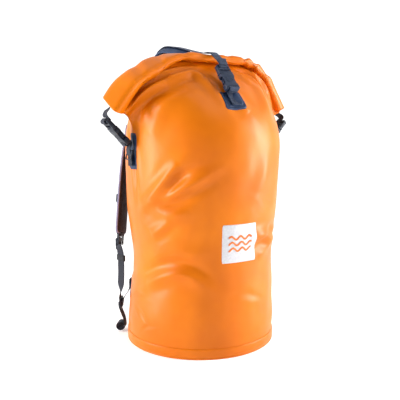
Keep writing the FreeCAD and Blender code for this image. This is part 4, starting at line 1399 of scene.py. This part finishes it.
def make_lower(word, side, tree, lock_frame, mats):
    """The lower webbing with its keeper, the adjuster, the anchor below it and the rolled spare end."""
    lower = radial(BACK + LOWER_ANGLE * side)
    way = x_way(lower)
    adjuster_frame = lower @ tilted(0.1906, 0.070, 0.0)
    run = in_frame(adjuster_frame, [(-0.0026, 0.0062), (0.0030, 0.0066)])
    run += in_frame(lower, [(0.1925, 0.100), (LOWER_OUT, 0.135), (LOWER_OUT, 0.190), (0.1950, 0.209)])
    run += in_frame(lock_frame, [(0.0032, -0.0100), (0.0030, -0.0070), (-0.0026, -0.0066)])
    twisted = way * math.cos(LOWER_TURN) + y_way(lower) * side * math.sin(LOWER_TURN)
    ways = (way, way, twisted, twisted, twisted, twisted, x_way(lock_frame), x_way(lock_frame))
    web = ribbon(f"{word}_lower_strap", run, ways, HARNESS_WIDTH, passes=2)
    finish_bending(web, "webbing", mats["web"], f"{word}_lower_webbing")
    keeper_frame = lower @ tilted(LOWER_OUT, KEEPER_LEVEL, 0.0) @ Matrix.Rotation(LOWER_TURN * side, 4, "Z")
    outlines = [soft_box((-0.0142, -0.0029), (0.0142, 0.0029), 0.0016),
                soft_box((-0.0130, -0.0016), (0.0130, 0.0016), 0.0010)]
    upright = keeper_frame @ Matrix.Rotation(math.radians(-90), 4, "X")
    keeper = moulding(f"{word}_strap_keeper", upright, outlines, 0.0068, 0.0003)
    finish_bending(keeper, "webbing", mats["web_plain"], f"{word}_keeper")
    finish_piece(make_lock(f"{word}_strap_adjuster", adjuster_frame), "bag", "black_plastic", mats["nylon"],
                 f"{word}_adjuster")
    patch_frame = lower @ tilted(LOWER_PATCH_OUT, 0.109, 0.0)
    patch(f"{word}_lower_anchor", f"{word}_lower_patch", tree, patch_frame, 0.030, 0.050, 0.006, PRESSED,
          mats["slate"])
    face = surface_drop(tree, patch_frame, 0.0, 0.0) + LOWER_PATCH_OUT + 0.0030
    tie = in_frame(lower, [(face, 0.1300), (face, 0.1040), (0.1868, 0.0800)])
    tie += in_frame(adjuster_frame, [(-0.0034, -0.0040), (0.0004, -0.0074), (0.0036, -0.0020)])
    strap(f"{word}_anchor_strap", tie, way, "bag", "webbing", mats["web"], f"{word}_anchor_webbing",
          width=HARNESS_WIDTH, passes=2)
    box_stitch(f"{word}_anchor_stitching", lower, (-0.0100, 0.1080), (0.0100, 0.1270), face + 0.0010,
               "webbing", mats["thread"])
    drop = in_frame(adjuster_frame, [(0.0040, 0.0040), (0.0044, -0.0060)])
    drop += in_frame(lower, [(0.1895, 0.0480), (0.1835, 0.0330)])
    for index in range(TAIL_STEPS):
        share = index / (TAIL_STEPS - 1)
        angle = share * TAIL_TURNS * 2.0 * math.pi
        radius = TAIL_RADIUS - (TAIL_RADIUS - TAIL_HOLE) * share - STRAP_GAUGE / 2.0
        out, level = TAIL_CENTRE[0] - radius * math.cos(angle), TAIL_CENTRE[1] - radius * math.sin(angle)
        drop.append(lower @ Vector((0.0, out, level)))
    strap(f"{word}_spare_strap", drop, way, "bag", "webbing", mats["web"], f"{word}_webbing_tail",
          width=HARNESS_WIDTH, passes=1)


# ---------------------------------------------------------------- base band and badge

BAND_COLUMNS = 360
# The band's section: outward from the bag's side, and level.
BAND_PROFILE = ((-0.0030, 0.0010), (0.0006, 0.0002), (0.0018, 0.0012), (0.0020, 0.0034), (0.0012, 0.0042),
                (0.0019, 0.0052), (0.0021, 0.0110), (0.0018, 0.0190), (0.0015, 0.0226), (0.0009, 0.0236),
                (-0.0018, 0.0238), (-0.0030, 0.0180))


BADGE_WIDTH = 0.084
WAVE_LENGTH = 0.056
WAVE_PITCH = 0.0125
WAVE_HEIGHT = 0.0035
WAVE_STEPS = 49


def make_base_band():
    """The welded band round the base: a doubled edge, with the pressed line near the floor."""
    verts = []
    for out, level in BAND_PROFILE:
        for column in range(BAND_COLUMNS):
            angle = 2.0 * math.pi * column / BAND_COLUMNS
            ripple = noise.noise(Vector((math.cos(angle) * 7.0, math.sin(angle) * 7.0, level * 40.0)))
            radius = BAG_RADIUS + out + 0.0006 * ripple * min(1.0, level / 0.010)
            verts.append((radius * math.cos(angle), radius * math.sin(angle), level))
    return link("base_band", verts, tube_faces(len(BAND_PROFILE), BAND_COLUMNS, looped=True))


def make_badge(tree, film, ink):
    """A plain square film with three waves printed on it."""
    low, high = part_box("front_badge")
    matrix = radial(FRONT) @ tilted(BAG_RADIUS, (low.z + high.z) / 2.0, 0.0)
    patch("badge_film", "front_badge", tree, matrix, BADGE_WIDTH, high.z - low.z, 0.0018, FILM, film, "badge")
    lines = []
    for row in range(3):
        points = []
        for index in range(WAVE_STEPS):
            share = index / (WAVE_STEPS - 1)
            x = (share - 0.5) * WAVE_LENGTH
            z = (1 - row) * WAVE_PITCH + WAVE_HEIGHT * math.sin(share * math.pi * 5.0 + row * 0.7)
            points.append(matrix @ Vector((x, surface_drop(tree, matrix, x, z) + 0.0009, z)))
        lines.append(sweep(f"wave{row}", points, y_way(matrix), oval(0.0021, 0.0006, 10)))
    finish_piece(merged("badge_waves", lines), "bag", "badge", ink)


# ---------------------------------------------------------------- the whole bag

SIDES = (("left", LEFT, 1.0), ("right", RIGHT, -1.0))


def paint(node, material):
    """Give a CAD node that stays visible a finished material."""
    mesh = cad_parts[node].data
    mesh.materials.clear()
    mesh.materials.append(material)


def make_bag():
    """Every piece, from the skin outward."""
    orange = tarpaulin()
    slate = moulded("slate_rubber", (0.008, 0.022, 0.062), (0.020, 0.040, 0.096), 0.50, 700.0)
    slate_plastic = moulded("slate_nylon", (0.010, 0.018, 0.040), (0.026, 0.038, 0.072), 0.38, 1100.0)
    slate_web = webbing("slate_webbing", (0.008, 0.014, 0.032), (0.036, 0.054, 0.104))
    black_web = webbing("black_webbing", (0.003, 0.003, 0.006), (0.022, 0.024, 0.038))
    nylon = moulded("black_nylon", (0.004, 0.006, 0.012), (0.014, 0.019, 0.034), 0.42, 1100.0)
    shell = make_shell()
    finish_piece(shell, "bag", "tarpaulin", orange, "body_shell")
    roll = finish_piece(make_roll(), "bag", "tarpaulin", orange, "roll_closure")
    finish_piece(make_base_band(), "bag", "tarpaulin", orange, "base_rim")
    paint("bottom_panel", tarpaulin("base_tarpaulin", 0.85))
    board = moulded("lip_plastic", (0.010, 0.010, 0.012), (0.030, 0.030, 0.034), 0.6, 500.0)
    finish_piece(make_lip_board(), "bag", "stiffener", board, "lip_stiffener")
    tree = BVHTree.FromObject(shell, bpy.context.evaluated_depsgraph_get())
    make_badge(tree, badge_print("badge_film", (0.50, 0.50, 0.53), (0.60, 0.60, 0.63)),
               badge_print("badge_ink", (0.62, 0.13, 0.010), (0.74, 0.17, 0.015)))
    make_front(tree, slate, slate_web)
    make_buckle("front", radial(FRONT) @ tilted(*FRONT_BUCKLE), slate_plastic, "slate_plastic")
    make_handle(tree, slate, slate_web)
    mats = {"mesh": spacer_mesh(), "web": black_web, "nylon": nylon, "slate": slate,
            "binding": moulded("grey_binding", (0.17, 0.16, 0.25), (0.27, 0.26, 0.38), 0.7, 1500.0),
            "thread": moulded("black_thread", (0.010, 0.010, 0.012), (0.050, 0.050, 0.058), 0.6, 1500.0),
            "web_plain": moulded("keeper_web", (0.008, 0.008, 0.010), (0.030, 0.030, 0.036), 0.75, 1500.0)}
    for word, angle, side in SIDES:
        make_side(word, angle, side, tree, slate, black_web)
        make_buckle(word, side_frame(angle, side) @ tilted(*SIDE_BUCKLE), nylon, "black_plastic")
        make_ring(word, angle, side, nylon)
        make_harness(word, side, tree, mats)


make_stage()
make_bag()
